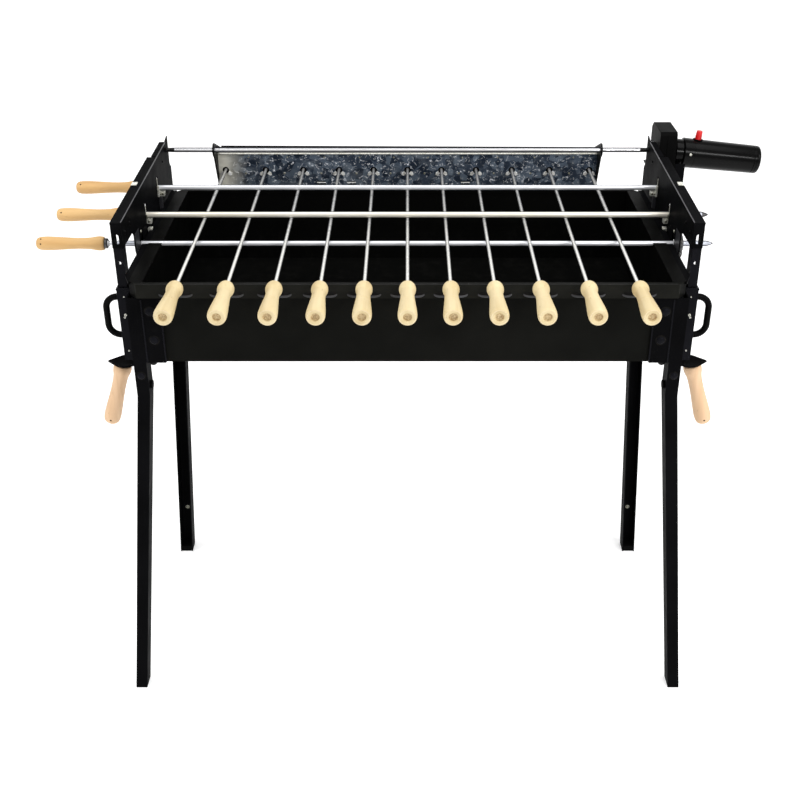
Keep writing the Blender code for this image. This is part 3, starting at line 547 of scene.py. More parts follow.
def soften(obj, width, segments=2):
    """Rounds an object's edges."""
    modifier = obj.modifiers.new("soften", "BEVEL")
    modifier.width = width
    modifier.segments = segments
    modifier.limit_method = "ANGLE"
    modifier.angle_limit = radians(30.0)


@contextmanager
def piece(name, materials, home, sharp=32.0, edge=0.0, steps=2, stands_for=None):
    """A shape to fill in a with block. Its end makes obj, tied to home's body."""
    shape = Shape()
    yield shape
    mesh = shape.mesh(name, sharp)
    for key in materials.split():
        mesh.materials.append(M[key])
    shape.obj = add_object(name, mesh)
    body, slot = home
    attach(shape.obj, body)
    if stands_for:
        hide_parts(stands_for)
    if edge:
        soften(shape.obj, edge, steps)


def bolt_group(name, materials, home, spots, direction, radius, height):
    """One piece of like bolts. With a second material, their washers take it, as a ring of painted shade."""
    with piece(name, materials, home) as bolts:
        for spot in spots:
            bolts.bolt(spot, direction, radius, height, " " in materials)


def cut(obj, shape):
    """Applies an exact Boolean difference."""
    tool = add_object("cutter", shape.mesh("cutter"))
    modifier = obj.modifiers.new("cut", "BOOLEAN")
    modifier.solver = "EXACT"
    modifier.object = tool
    modifier.operation = "DIFFERENCE"
    bpy.context.view_layer.update()
    made = bpy.data.meshes.new_from_object(obj.evaluated_get(bpy.context.evaluated_depsgraph_get()))
    obj.modifiers.remove(modifier)
    obj.data = made
    bpy.data.objects.remove(tool, do_unlink=True)
    made.shade_smooth()
    made.set_sharp_from_angle(angle=radians(32.0))


# ---- CAD nodes that stay: finer edges and better materials ---------------------------------


def dress(key, edge, *nodes):
    """Gives CAD nodes a material and rounds their edges by edge."""
    for node in nodes:
        obj = frame["nodes"][node]
        obj.data.materials.clear()
        obj.data.materials.append(M[key])
        soften(obj, edge)


def dress_frame():
    dress("tray", 0.0007, "trough")
    for side, _ in SIDES:
        dress("coat_plate", 0.0007, f"leg_front_{side}", f"leg_rear_{side}")
        dress("coat_blue", 0.0006, f"sleeve_{side}")
        dress("coat_blue", 0.0004, f"strut_{side}")
        dress("coat_plate", 0.0003, f"side_plate_{side}")
    dress("coat", 0.0003, "gear_housing_back", "motor_bracket")
    dress("gear", 0.0003, "skewer_worm_shaft", *SPROCKETS)


# ---- spits ---------------------------------------------------------------------------------

BAR_RADIUS = {"front": 0.0043, "middle": 0.005, "rear": 0.0043}
DARK_TIP = {"front": 0.0045, "middle": 0.011, "rear": 0.0045}
GRIP_HOLE_TURNS = {"front": (-0.4, 0.4), "middle": (0.0,), "rear": (0.15,)}
BRIGHT_HALF = 0.418
GRIP_SHAPE = (
    (0.0, 0.8), (0.015, 0.93), (0.06, 0.995), (0.12, 0.96), (0.2, 0.83), (0.3, 0.775), (0.42, 0.775),
    (0.6, 0.86), (0.78, 0.95), (0.9, 0.94), (0.96, 0.84), (0.99, 0.62), (1.0, 0.3),
)
FERRULE = [
    (0.0, 0.0078), (0.0006, 0.008), (0.004, 0.008), (0.0046, 0.0074), (0.005, 0.005), (0.0066, 0.0044),
]
NECK = [
    (0.0072, 0.003), (0.0082, 0.0027), (0.0115, 0.0027), (0.0125, 0.0034), (0.0132, 0.0052),
    (0.0146, 0.0056), (0.0156, 0.005), (0.0164, 0.0032), (0.019, 0.0032),
]
NECK_END = 0.0204
TIP = ((0.0125, 1.0), (0.0105, 0.96), (0.0075, 0.8), (0.003, 0.46), (0.0006, 0.2), (0.0, 0.0))


def make_spit(row):
    """A long spit: ferrule, neck, bar and pointed tip, and its turned grip with hanging holes."""
    node, body = f"spit_bar_{row}", f"spit_{row}"
    low, high = local_box(node)
    _, y, z = middle_of(node)
    radius, length = BAR_RADIUS[row], high.x - low.x
    start = place(low.x, y, z)
    bright = [-BRIGHT_HALF - low.x, BRIGHT_HALF - low.x]
    profile = [(0.0, 0.0)] + FERRULE + NECK + [(NECK_END, radius)] + [(along, radius) for along in bright]
    profile += [(length - back, radius * share) for back, share in TIP]
    bar_key = "steel_warm" if row == "middle" else "steel"
    with piece(f"bar_{row}", f"{bar_key} ferrule steel_end", (body, "bright_steel"), stands_for=node) as bar:
        bar.turned(start, (1, 0, 0), profile, 32)
        for face in bar.bm.faces:
            reach = face.calc_center_median().x - start.x
            if reach < 0.0048 or reach > length - DARK_TIP[row]:
                face.material_index = 1
            elif reach > bright[1] or NECK_END < reach < bright[0]:
                face.material_index = 2
    node = f"spit_grip_{row}"
    low, high = local_box(node)
    half = 0.5 * (high.y - low.y)
    length = high.x - low.x
    profile = [(0.0, 0.0)] + smoothed(GRIP_SHAPE, length, half) + [(length, 0.0)]
    with piece(f"grip_{row}", "tan tan_end", (body, "spit_wood"), 50, stands_for=node) as grip:
        grip.turned(place(high.x, y, z), (-1, 0, 0), profile, 48)
    holes = Shape()
    for turned_by in GRIP_HOLE_TURNS[row]:
        lift = radians(38) + turned_by
        around = Vector((0, -cos(lift), sin(lift)))
        spot = place(low.x + 0.009, y, z) + around * (half - 0.006)
        holes.turned(spot, around, [(0.0, 0.0012), (0.007, 0.0012)], 14)
    cut(grip.obj, holes)
    # The hanging holes' walls take the near-black second material: painted shade inside the holes.
    for face in grip.obj.data.polygons:
        x = face.center.x - ORIGIN.x
        away = (face.center - place(x, y, z)).length
        if 0.0072 < x - low.x < 0.0106 and away < half * 0.79 and face.area < 2.2e-5:
            face.material_index = 1


def make_bearing(row, side, way):
    """The zinc block that carries a spit in its slot, with its screws and a seat ring."""
    _, y, z = middle_of(f"spit_bar_{row}")
    face = way * reach_of(f"side_plate_{side}")[0]
    rear = row == "rear"
    deep = 0.011 if rear else 0.0078
    tag = f"{row}_{side}"
    with piece(f"bearing_{tag}", "zinc", FRAME_STEEL, edge=0.0006, steps=3) as block:
        block.box((face, face - way * deep), (y - 0.0045, y + 0.0045), (z - 0.014, z - 0.0064))
        if rear:
            block.box((face, face - way * 0.0035), (y - 0.0088, y - 0.0058), (z - 0.014, z + 0.005))
    with piece(f"bearing_screw_{tag}", "zinc_dull hole", FRAME_STEEL) as screws:
        for across in (0.3, 0.72) if rear else (0.52,):
            spot = place(face - way * deep * across, y - 0.0045, z - 0.01)
            screws.screw(spot, (0, -1, 0), 0.0021, 0.001)
    inner, outer = BAR_RADIUS[row] + 0.0007, BAR_RADIUS[row] + 0.0017
    outline = arc((y, z), outer, 28, radians(160), radians(220))
    outline += arc((y, z), inner, 28, radians(380), radians(-220))
    with piece(f"bearing_seat_{tag}", "zinc_dull", FRAME_STEEL) as seat:
        seat.prism(outline, "x", (face - way * 0.0002, face - way * 0.0024))
    edge = y - BAR_RADIUS[row] - 0.0004
    with piece(f"bearing_liner_{tag}", "zinc", FRAME_STEEL, edge=0.0003) as liner:
        liner.box((face - way * 0.0001, face - way * 0.0012), (edge - 0.0009, edge), (z, z + 0.017))


# ---- skewers -------------------------------------------------------------------------------

SKEWER_RADIUS = 0.0028
SKEWER_SHAPE = (
    (0.0, 0.28), (0.01, 0.5), (0.032, 0.7), (0.065, 0.83), (0.105, 0.895), (0.145, 0.905), (0.185, 0.865),
    (0.215, 0.795), (0.238, 0.745), (0.3, 0.725), (0.45, 0.765), (0.62, 0.86), (0.78, 0.955), (0.9, 1.0),
    (0.96, 0.985), (0.99, 0.925), (1.0, 0.85),
)
TURNED_LINE = ((-0.0012, 0.0), (-0.0004, 0.00035), (0.0004, 0.00035), (0.0012, 0.0))


def make_skewer(joint):
    """A short skewer: its bar, and a turned grip with two turned lines and a hole in its end."""
    body = joint["child"]
    number = body[-2:]
    rod, grip = f"skewer_rod_{number}", f"skewer_grip_{number}"
    axis = Vector(joint["axis"]).normalized()
    pivot = Vector(joint["pos_m"])
    along = [(v.co - pivot).dot(axis) for v in frame["nodes"][rod].data.vertices]
    start, length = min(along), max(along) - min(along)
    radius = SKEWER_RADIUS
    profile = [(0.0, 0.0), (0.0, radius), (0.006, radius), (length - 0.01, radius),
               (length - 0.003, radius * 0.7), (length, 0.0)]
    home = (body, "bright_steel")
    with piece(f"skewer_bar_{number}", "steel_skewer", home, stands_for=rod) as bar:
        bar.turned(pivot + axis * start, axis, profile, 24)
    offsets = [v.co - pivot for v in frame["nodes"][grip].data.vertices]
    along = [offset.dot(-axis) for offset in offsets]
    start, length = min(along), max(along) - min(along)
    wide = max((offset - axis * offset.dot(axis)).length for offset in offsets)
    hole, floor = wide * 0.47, length - 0.0034
    outside = smoothed(SKEWER_SHAPE, length, wide)
    for share, radius in ((0.245, 0.742), (0.585, 0.842)):
        line = [(length * share + step, wide * radius - deep) for step, deep in TURNED_LINE]
        outside = [p for p in outside if abs(p[0] - length * share) > 0.0014] + line
    outside.sort()
    face = [(length, wide * 0.8), (length - 0.0002, hole + 0.0009), (length - 0.0008, hole)]
    inside = [(floor, hole * 0.96), (floor - 0.0009, hole * 0.55), (floor - 0.0004, hole * 0.22),
              (floor - 0.0012, 0.0)]
    profile = [(0.0, 0.0)] + outside + face + inside
    dark_from = len(outside) + len(face) + 1
    home = (body, "skewer_wood")
    with piece(f"skewer_handle_{number}", "cream cream_end cream_face", home, 50, stands_for=grip) as made:
        made.turned(pivot - axis * start, -axis, profile, 48, later=(dark_from, 1))
    for polygon in made.obj.data.polygons:
        if polygon.material_index == 0 and polygon.normal.dot(-axis) > 0.85 and polygon.area < 4.0e-6:
            if (polygon.center - pivot).dot(-axis) > start + 0.95 * length:
                polygon.material_index = 2


# ---- drive rod, housing and chain ----------------------------------------------------------


def make_rod():
    """The drive rod: bright, with a groove near its left end and dark ends."""
    low, high = local_box("drive_rod")
    _, y, z = middle_of("drive_rod")
    start, length = place(low.x, y, z), high.x - low.x
    profile = [(0.0, 0.0), (0.0, 0.003), (0.0012, 0.0038), (0.015, 0.0038), (0.0165, 0.0034),
               (0.018, 0.0038), (0.024, 0.0039), (0.026, 0.004), (length - 0.026, 0.004),
               (length - 0.018, 0.0038), (length - 0.001, 0.0038), (length, 0.003), (length, 0.0)]
    home = ("drive_rod", "bright_steel")
    with piece("rod", "chrome rod_end", home, stands_for="drive_rod") as rod:
        rod.turned(start, (1, 0, 0), profile, 32)
        for face in rod.bm.faces:
            if not 0.0245 < face.calc_center_median().x - start.x < length - 0.0245:
                face.material_index = 1


def socket_points():
    """Where each skewer's axis meets the housing's front."""
    front = local_box("gear_housing_front")[0].y
    points = []
    for joint in SKEWER_JOINTS:
        pivot = Vector(joint["pos_m"]) - ORIGIN
        axis = Vector(joint["axis"])
        points.append(pivot + axis * ((front - pivot.y) / axis.y))
    return sorted(points, key=lambda p: p.x)


HOUSING_EAR = ((0.0024, -0.0062), (0.006, -0.002), (0.0096, -0.0042), (0.0106, -0.0086), (0.007, -0.01))
SLOT_PAIRS = (2.62, 3.45, 6.6)


def make_housing():
    """The galvanised front, with its sockets, slot pairs, ears, rivets and top edge."""
    low, high = local_box("gear_housing_front")
    front, back = low.y, high.y
    through = (front - 0.01, back + 0.01)
    sockets = socket_points()
    pitch = (sockets[-1].x - sockets[0].x) / (len(sockets) - 1)
    slots = [sockets[0].x + pitch * share for share in SLOT_PAIRS]
    with piece("housing_panel", "galvanised", FRAME_ZINC, stands_for="gear_housing_front") as panel:
        panel.box((low.x, high.x), (front, back), (low.z, high.z))
    holes = Shape()
    for p in sockets:
        holes.prism(disc((p.x, p.z), 0.0058, 32), "y", through)
    for x in slots:
        for z in (low.z + 0.0075, low.z + 0.013):
            holes.box((x - 0.0075, x + 0.0075), through, (z, z + 0.0018))
    cut(panel.obj, holes)
    soften(panel.obj, 0.0002)
    with piece("housing_slot_lips", "zinc_bright", FRAME_ZINC, edge=0.0004) as lips:
        for x in slots:
            for z in (low.z + 0.0059, low.z + 0.0114):
                lips.box((x - 0.008, x + 0.008), (front - 0.0009, front + 0.0002), (z, z + 0.0016))
    with piece("housing_ears", "zinc_bright", FRAME_ZINC, edge=0.0003) as ears:
        for p in sockets:
            for way in (-1, 1):
                outline = [(p.x + way * dx, p.z + dz) for dx, dz in HOUSING_EAR]
                ears.prism(outline, "y", (front - 0.0012, front + 0.0002))
    with piece("housing_rivets", "zinc_dull", FRAME_ZINC) as rivets:
        for a, b in zip(sockets, sockets[1:]):
            x = 0.5 * (a.x + b.x)
            rivets.bolt(place(x, front, 0.5 * (low.z + high.z) - 0.004), (0, -1, 0), 0.0016, 0.0009)
            rivets.bolt(place(x + 0.006, front, high.z - 0.008), (0, -1, 0), 0.0013, 0.0008)
    rim = [(front - 0.003, high.z - 0.0018), (front - 0.003, high.z), (front + 0.001, high.z + 0.0002),
           (front + 0.001, high.z - 0.0004)]
    with piece("housing_top_edge", "zinc", FRAME_ZINC, edge=0.0003) as top:
        top.prism(rim, "x", (low.x + 0.0005, high.x - 0.0005))
    # Dark discs in the hole material behind the sockets: painted shade inside the housing, where the worm
    # wheels sit.
    wheel = [(0.0, 0.0), (0.0, 0.0068), (0.012, 0.0068), (0.012, 0.0)]
    with piece("housing_worm_wheel_shade", "hole", FRAME_GEAR) as wheels:
        for p in sockets:
            wheels.turned(place(p.x, front + 0.003, p.z), (0, 1, 0), wheel, 24)


def make_apron():
    """The black round-cornered plate below the galvanised panel, behind the skewers."""
    low, high = local_box("gear_housing_front")
    half, bend = high.x - 0.006, 0.014
    top, base = low.z - 0.0004, low.z - 0.023
    y = low.y + 0.0016
    outline = [(-half, top), (half, top)]
    outline += arc((half - bend, base + bend), bend, 8, 0.0, -pi / 2)
    outline += arc((bend - half, base + bend), bend, 8, -pi / 2, -pi / 2)
    with piece("housing_apron", "coat", FRAME_BLACK, edge=0.0004) as plate:
        plate.prism(outline, "y", (y, y + 0.0012))
    # The edge is a thin rod in the lighter fold coat: a painted highlight along the plate's edge.
    with piece("housing_apron_edge", "coat_fold", FRAME_BLACK, 60) as edge:
        edge.swept([place(x, y, z) for x, z in outline[1:] + outline[:1]], 0.0006, 8, (0, 1, 0))


def convex_outline(points):
    """The points that a band round them all would touch, in order."""
    points = sorted(points)

    def half(ordered):
        kept = []
        for p in ordered:
            while len(kept) > 1:
                a, b = kept[-2], kept[-1]
                if (b[0] - a[0]) * (p[1] - a[1]) - (b[1] - a[1]) * (p[0] - a[0]) > 0:
                    break
                kept.pop()
            kept.append(p)
        return kept[:-1]

    return half(points) + half(points[::-1])


def chain_pins():
    """Y, Z of the chain's pins, evenly spaced along the loop round the four sprockets."""
    points = []
    for node in SPROCKETS:
        low, high = local_box(node)
        points += disc(middle_of(node)[1:], 0.5 * (high.y - low.y) + 0.0018, 90)
    loop = convex_outline(points)
    lengths = [dist(a, b) for a, b in zip(loop, loop[1:] + loop[:1])]
    total = sum(lengths)
    count = 2 * round(total / 0.0064 / 2)
    pins = []
    travelled, index = 0.0, 0
    for i in range(count):
        goal = i * total / count
        while travelled + lengths[index] < goal:
            travelled += lengths[index]
            index += 1
        a, b = loop[index], loop[(index + 1) % len(loop)]
        share = (goal - travelled) / lengths[index]
        pins.append((a[0] + (b[0] - a[0]) * share, a[1] + (b[1] - a[1]) * share))
    return pins


def make_chain():
    """Roller chain: paired link plates, pins and rollers."""
    low, high = local_box("drive_chain")
    width = high.x - low.x
    pins = chain_pins()
    with piece("roller_chain", "gear", FRAME_GEAR, stands_for="drive_chain") as chain:
        for i, (a, b) in enumerate(zip(pins, pins[1:] + pins[:1])):
            spread = 0.0004 if i % 2 else 0.0012
            along = atan2(b[1] - a[1], b[0] - a[0])
            outline = arc(b, 0.002, 6, along - pi / 2, pi)
            outline += arc(a, 0.002, 6, along + pi / 2, pi)
            chain.prism(outline, "x", (low.x + spread, low.x + spread + 0.0006))
            chain.prism(outline, "x", (high.x - spread - 0.0006, high.x - spread))
            for inset, radius, segments in ((0.0001, 0.0008, 8), (0.0016, 0.0015, 10)):
                profile = [(0.0, radius), (width - 2 * inset, radius)]
                chain.turned(place(low.x + inset, *a), (1, 0, 0), profile, segments)


def make_hubs():
    """Hub and rivets on every spit sprocket's outer face."""
    for row in SPIT_ROWS:
        node, home = f"spit_sprocket_{row}", (f"spit_{row}", "gear_steel")
        x = local_box(node)[1].x
        _, y, z = middle_of(node)
        bore = BAR_RADIUS[row] + 0.0003
        profile = [(0.0, bore), (0.0, 0.0092), (0.0042, 0.0092), (0.005, 0.0084), (0.005, bore)]
        with piece(f"hub_{row}", "gear", home, edge=0.0003) as hub:
            hub.ring(place(x, y, z), profile, 28)
        angles = [tau * k / 6 + 0.3 for k in range(6)]
        rivets = [place(x, y + 0.0138 * cos(a), z + 0.0138 * sin(a)) for a in angles]
        bolt_group(f"hub_rivets_{row}", "zinc_dull", home, rivets, (1, 0, 0), 0.0011, 0.0009)


# ---- side plates' fittings -----------------------------------------------------------------


def flange_height(y):
    """Height of the side plates' slanted top flange."""
    return 0.827 + (0.8393 - 0.827) * (y - 0.05) / (0.404 - 0.05)


def flange_strip(y0, y1, under, over):
    """A side outline that follows the flange, from under to over its height."""
    return [(y, flange_height(y) + rise) for y, rise in ((y0, under), (y1, under), (y1, over), (y0, over))]


PLATE_RIVETS = ((0.17, 0.742), (0.1655, 0.769), (0.29, 0.748), (0.278, 0.756), (0.418, 0.752))
PLATE_BOLTS = ((0.07, 0.805), (0.1, 0.808), (0.37, 0.815))


def make_plate_fittings(side, way):
    """Rivets, bolts, zinc clips, straps and keepers on a side plate's inner face and flange."""
    inner = way * reach_of(f"side_plate_{side}")[0]
    near = inner - way * 0.0001
    rivets = [place(inner, y, z) for y, z in PLATE_RIVETS]
    bolt_group(f"plate_rivets_{side}", "zinc_dull", FRAME_STEEL, rivets, (-way, 0, 0), 0.0024, 0.0016)
    bolts = [place(inner, y, z) for y, z in PLATE_BOLTS]
    bolt_group(f"plate_bolts_{side}", "coat", FRAME_BLACK, bolts, (-way, 0, 0), 0.0026, 0.0016)
    with piece(f"flange_clip_{side}", "zinc", FRAME_STEEL, edge=0.0005, steps=3) as clip:
        outline = flange_strip(0.1985, 0.2115, -0.0004, 0.0011)
        clip.prism(outline, "x", (inner + way * 0.007, inner + way * 0.0158))
    # The fold strip is in the lighter fold coat: a painted highlight along the flange's bend.
    with piece(f"plate_fold_{side}", "coat_fold", FRAME_BLACK, edge=0.0003) as fold:
        outline = flange_strip(0.052, 0.402, 0.0001, -0.0012)
        fold.prism(outline, "x", (inner - way * 0.0005, inner + way * 0.0008))
    # The straps are in the lighter edge coat: a painted highlight on them.
    with piece(f"plate_straps_{side}", "coat_edge", FRAME_BLACK, edge=0.001, steps=3) as straps:
        straps.box((near, inner - way * 0.007), (0.211, 0.219), (0.736, 0.7505))
        straps.box((near, inner - way * 0.0062), (0.31, 0.317), (0.747, 0.7735))
    with piece(f"plate_clip_{side}", "zinc", FRAME_STEEL, edge=0.0014, steps=3) as clamp:
        clamp.box((near, inner - way * 0.0075), (0.2105, 0.2195), (0.7507, 0.757))
    make_hook_pad(side, way, inner)
    with piece(f"plate_keeper_{side}", "coat_plate", FRAME_BLACK, edge=0.0003) as keeper:
        strip = (near, inner - way * 0.0011)
        keeper.box(strip, (0.19, 0.364), (0.7276, 0.7372))
        hook = [(0.1735, 0.738), (0.1905, 0.738), (0.1905, 0.769), (0.1735, 0.769)]
        keeper.prism(hook, "x", strip)


def make_hook_pad(side, way, inner):
    """The pad on the inside of the hook that carries the front spit, in the lighter coat of a painted
    highlight.
    """
    outline = arc((0.1495, 0.7595), 0.0255, 16, 0.0, -pi)
    outline += [(0.124, 0.78), (0.15, 0.78), (0.15, 0.7585), (0.1745, 0.747)]
    spit, clear = (0.16, 0.7512), 0.005
    kept = [p for p in outline if dist(p, spit) > clear]
    with piece(f"hook_pad_{side}", "coat_edge", FRAME_BLACK, edge=0.0003) as pad:
        pad.prism(kept, "x", (inner - way * 0.0001, inner - way * 0.0009))


# ---- trough, legs and sleeves --------------------------------------------------------------


def slot_edge(x, z, half, steps=22):
    """Rings of the rolled lower edge of one lip slot, which swells out and dies away at its ends."""
    rings = []
    for k in range(steps + 1):
        share = -1 + 2 * k / steps
        rise = 0.0034 * (1 - abs(share) ** 6)
        swell = 0.0022 * (1 - abs(share) ** 8) + 0.0003
        centre = place(x + share * half, LIP_FACE, z - rise)
        ring = []
        for a in [tau * i / 12 for i in range(12)]:
            ring.append(centre + Vector((0, 0.0004 - swell * cos(a), 0.0018 * sin(a))))
        rings.append(ring)
    return rings


def make_lip_slots():
    """Pressed slots in the front lip, one under each skewer: a dark slab of painted shade for the mouth, and
    a rolled lower edge in a lighter coat, a painted highlight.
    """
    z = TROUGH_HIGH.z - 0.0148
    half, tall = 0.0235, 0.0026
    centres = [1.014 * (joint["pos_m"][0] - ORIGIN.x) for joint in SKEWER_JOINTS]
    with piece("lip_slots", "hole", STAND_BLACK) as mouths:
        for x in centres:
            outline = arc((x + half - tall, z), tall, 8, -pi / 2, pi)
            outline += arc((x - half + tall, z), tall, 8, pi / 2, pi)
            mouths.prism(outline, "y", (LIP_FACE - 0.0003, LIP_FACE + 0.001))
    with piece("lip_slot_edges", "coat_slot", STAND_BLACK, 60) as edges:
        for x in centres:
            edges.skin(slot_edge(x, z - 0.0008, half + 0.0012))


def make_lip_bead():
    """The rolled edge along the top of the lip, in a lighter coat that paints the highlight it catches."""
    half, radius = 0.3885, 0.0012
    y, z = LIP_FACE + radius, TROUGH_HIGH.z - 0.0011
    with piece("lip_bead", "coat_edge", STAND_BLACK, 60) as bead:
        bead.swept([place(-half + 2 * half * k / 60, y, z) for k in range(61)], radius, 12, (0, 0, 1))


PLATE_FACE, PLATE_BACK = -0.0025, 0.4025
BOLT_ROWS = (0.7105, 0.664)


def make_corner(side, way):
    """The legs' plates: dome bolts, folded edges, and a dome under the trough."""
    front = [place(way * x, PLATE_FACE, z) for x, z in zip((0.3745, 0.372), BOLT_ROWS)]
    # These bolts' washers take the dark hole material: rings of painted shade.
    bolt_group(f"corner_bolts_{side}", "coat_blue hole", STAND_BLACK, front, (0, -1, 0), 0.0062, 0.0036)
    rear = [place(way * 0.393, PLATE_BACK, z) for z in BOLT_ROWS]
    bolt_group(f"rear_corner_bolts_{side}", "coat_rough", STAND_BLACK, rear, (0, 1, 0), 0.0062, 0.0034)
    low = TROUGH_LOW.z
    y0, y1 = PLATE_FACE - 0.0008, PLATE_FACE + 0.0006
    with piece(f"corner_folds_{side}", "coat_blue", STAND_BLACK, edge=0.0004) as folds:
        for x in (0.358, 0.3855):
            x0, x1 = way * (x - 0.0011), way * (x + 0.0011)
            folds.prism([(x0, y0), (x1, y0), (x1, y1), (x0, y1)], "z", (low + 0.001, 0.7295))
    under = [place(way * 0.38, 0.011, low - 0.003)]
    bolt_group(f"under_bolt_{side}", "coat_rough", STAND_BLACK, under, (0, 0, -1), 0.0062, 0.0075)


def make_rim_strip(side, way):
    """The turned-out edge of the trough's side rim, in two stretches clear of the front spit."""
    front = [(0.4018, 0.004), (0.412, 0.03), (0.412, 0.152), (0.4018, 0.152)]
    rear = [(0.4018, 0.168), (0.412, 0.168), (0.412, 0.4), (0.4018, 0.401)]
    with piece(f"rim_strip_{side}", "coat_plate", STAND_BLACK, edge=0.0005) as strip:
        for outline in (front, rear):
            strip.prism([(way * x, y) for x, y in outline], "z", (0.749, 0.7537))


KNOB_SHAPE = ((0.0, 0.55), (0.12, 0.62), (0.18, 0.9), (0.35, 1.0), (0.75, 1.0), (0.93, 0.9), (1.0, 0.7))


def knob_rings(spot, direction, radius, height, lobes=8):
    """Rings of a lobed knob on a short collar."""
    turn = frame_of(direction)
    rings = []
    for along, share in KNOB_SHAPE:
        depth = 0.09 if share > 0.7 else 0.0
        ring = []
        for angle in [tau * i / 48 for i in range(48)]:
            reach = radius * share * (1.0 - depth * (0.5 + 0.5 * cos(lobes * angle)))
            offset = Vector((reach * cos(angle), reach * sin(angle), height * along))
            ring.append(spot + turn @ offset)
        rings.append(ring)
    return rings


LEG_KNEE = 0.57
LEG_REACH = {"front": (0.407, 0.468), "rear": (0.428, 0.458)}


def leg_outer(row, z):
    """A leg's outer X at a height: LEG_REACH gives it at the top and at the foot."""
    top, foot = LEG_REACH[row]
    return foot + (top - foot) * min(z, LEG_KNEE) / LEG_KNEE


def make_leg_fittings(side, way):
    """The front leg's knob, and both legs' bolts, rivet and foot plugs."""
    with piece(f"leg_knob_{side}", "motor_box", STAND_BLACK, 40) as knob:
        spot = place(way * (leg_outer("front", 0.583) - 0.0187), 0.011, 0.583)
        knob.skin(knob_rings(spot, (-way, 0, 0), 0.007, 0.004))
    with piece(f"leg_bolts_{side}", "coat_blue hole", STAND_BLACK) as bolts:
        # The first two bolts' washers take the dark hole material: rings of painted shade.
        bolts.bolt(place(way * 0.3975, PLATE_FACE, 0.6045), (0, -1, 0), 0.0056, 0.0036, True)
        bolts.bolt(place(way * 0.416, PLATE_BACK, 0.6045), (0, 1, 0), 0.0056, 0.0036, True)
        bolts.bolt(place(way * 0.407, 0.0125, 0.6), (way, 0, 0), 0.0052, 0.0036)
        bolts.bolt(place(way * 0.428, 0.3885, 0.6), (way, 0, 0), 0.0052, 0.0036)
        bolts.bolt(place(way * 0.404, 0.3885, 0.6), (-way, 0, 0), 0.0046, 0.003)
    rivet = [place(way * (leg_outer("rear", 0.09) - 0.012), 0.3943, 0.09)]
    bolt_group(f"leg_rivet_{side}", "zinc_dull", STAND_STEEL, rivet, (0, -1, 0), 0.003, 0.0018)
    for row in ("front", "rear"):
        make_foot(row, side)


def make_foot(row, side):
    """A moulded plug that closes the channel at the floor."""
    foot = [v.co - ORIGIN for v in frame["nodes"][f"leg_{row}_{side}"].data.vertices if v.co.z < 0.002]
    inset = 0.0007
    x_span, y_span = [
        (min(p[k] for p in foot) + inset, max(p[k] for p in foot) - inset) for k in (0, 1)
    ]
    with piece(f"foot_plug_{row}_{side}", "motor_box", STAND_BLACK, edge=0.0006) as plug:
        plug.box(x_span, y_span, (0.0002, 0.012))


SLEEVE_SCREWS = (
    (-0.001, -0.014, 0.0012), (0.0, -0.044, 0.0022), (0.0015, -0.048, 0.0016), (0.0015, -0.104, 0.0014),
)


def make_sleeve_fittings(side, way):
    """A sleeve's small screws, rolled rim and guide nuts."""
    low, high = local_box(f"sleeve_{side}")
    near, far = reach_of(f"strut_{side}")
    x = 0.5 * (near + far)
    with piece(f"sleeve_screws_{side}", "zinc hole", STAND_STEEL) as screws:
        for dx, dz, radius in SLEEVE_SCREWS:
            screws.screw(place(way * (x + dx), low.y, high.z + dz), (0, -1, 0), radius, 0.001)
    near, far = near - 0.0026, far + 0.0026
    rings = []
    for grow, drop in ((0.0, 0.004), (0.0006, 0.0036), (0.0006, 0.0008), (0.0, 0.0002)):
        x0, x1 = way * (near - grow), way * (far + grow)
        y0, y1 = low.y - grow, high.y + grow
        rings.append([place(*p, high.z - drop) for p in ((x0, y0), (x1, y0), (x1, y1), (x0, y1))])
    with piece(f"sleeve_rim_{side}", "coat_blue", STAND_BLACK) as rim:
        rim.skin(rings, capped=False)
    nut = [(0.0, 0.003), (0.0036, 0.003), (0.0042, 0.0022)]
    with piece(f"sleeve_nuts_{side}", "zinc_dull", STAND_STEEL) as nuts:
        for z in (0.655, 0.705):
            for y, out in ((low.y + 0.0035, -1), (high.y - 0.0035, 1)):
                nuts.turned(place(way * (near - 0.001), y, z), (0, out, 0), nut, 6)


def make_carry_handle(side, way):
    """The bent rod handle on a sleeve, with its two weld collars."""
    node = f"carry_handle_{side}"
    low, high = local_box(node)
    start, reach = reach_of(node)
    y = middle_of(node)[1]
    radius, bend = 0.005, 0.018
    outer, top, base = reach - radius, high.z - radius, low.z + radius
    flat = [(start, top)]
    flat += arc((outer - bend, top - bend), bend, 14, pi / 2, -pi / 2)
    flat += arc((outer - bend, base + bend), bend, 14, 0.0, -pi / 2)
    flat += [(start, base)]
    with piece(f"handle_{side}", "coat", STAND_BLACK, 60, stands_for=node) as handle:
        handle.swept([place(way * x, y, z) for x, z in flat], radius, 20, (0, 1, 0))
    weld = [(0.0, radius), (0.0, radius + 0.0032), (0.001, radius + 0.0032), (0.0022, radius + 0.0006),
            (0.0022, radius)]
    with piece(f"handle_welds_{side}", "coat_rough", STAND_BLACK, 60) as welds:
        for z in (top, base):
            welds.ring(place(way * (start + 0.0001), y, z), weld, 24, (way, 0, 0))


# ---- catch levers --------------------------------------------------------------------------

LEVER_X, LEVER_LENGTH, LEVER_RADIUS = 0.4405, 0.108, 0.0142
LEVER_SHAPE = (
    (0.0, 0.82), (0.006, 0.9), (0.03, 0.965), (0.07, 0.99), (0.11, 0.95), (0.17, 0.84), (0.25, 0.775),
    (0.38, 0.765), (0.52, 0.8), (0.68, 0.87), (0.82, 0.92), (0.91, 0.89), (0.96, 0.77), (0.99, 0.5),
    (1.0, 0.22),
)


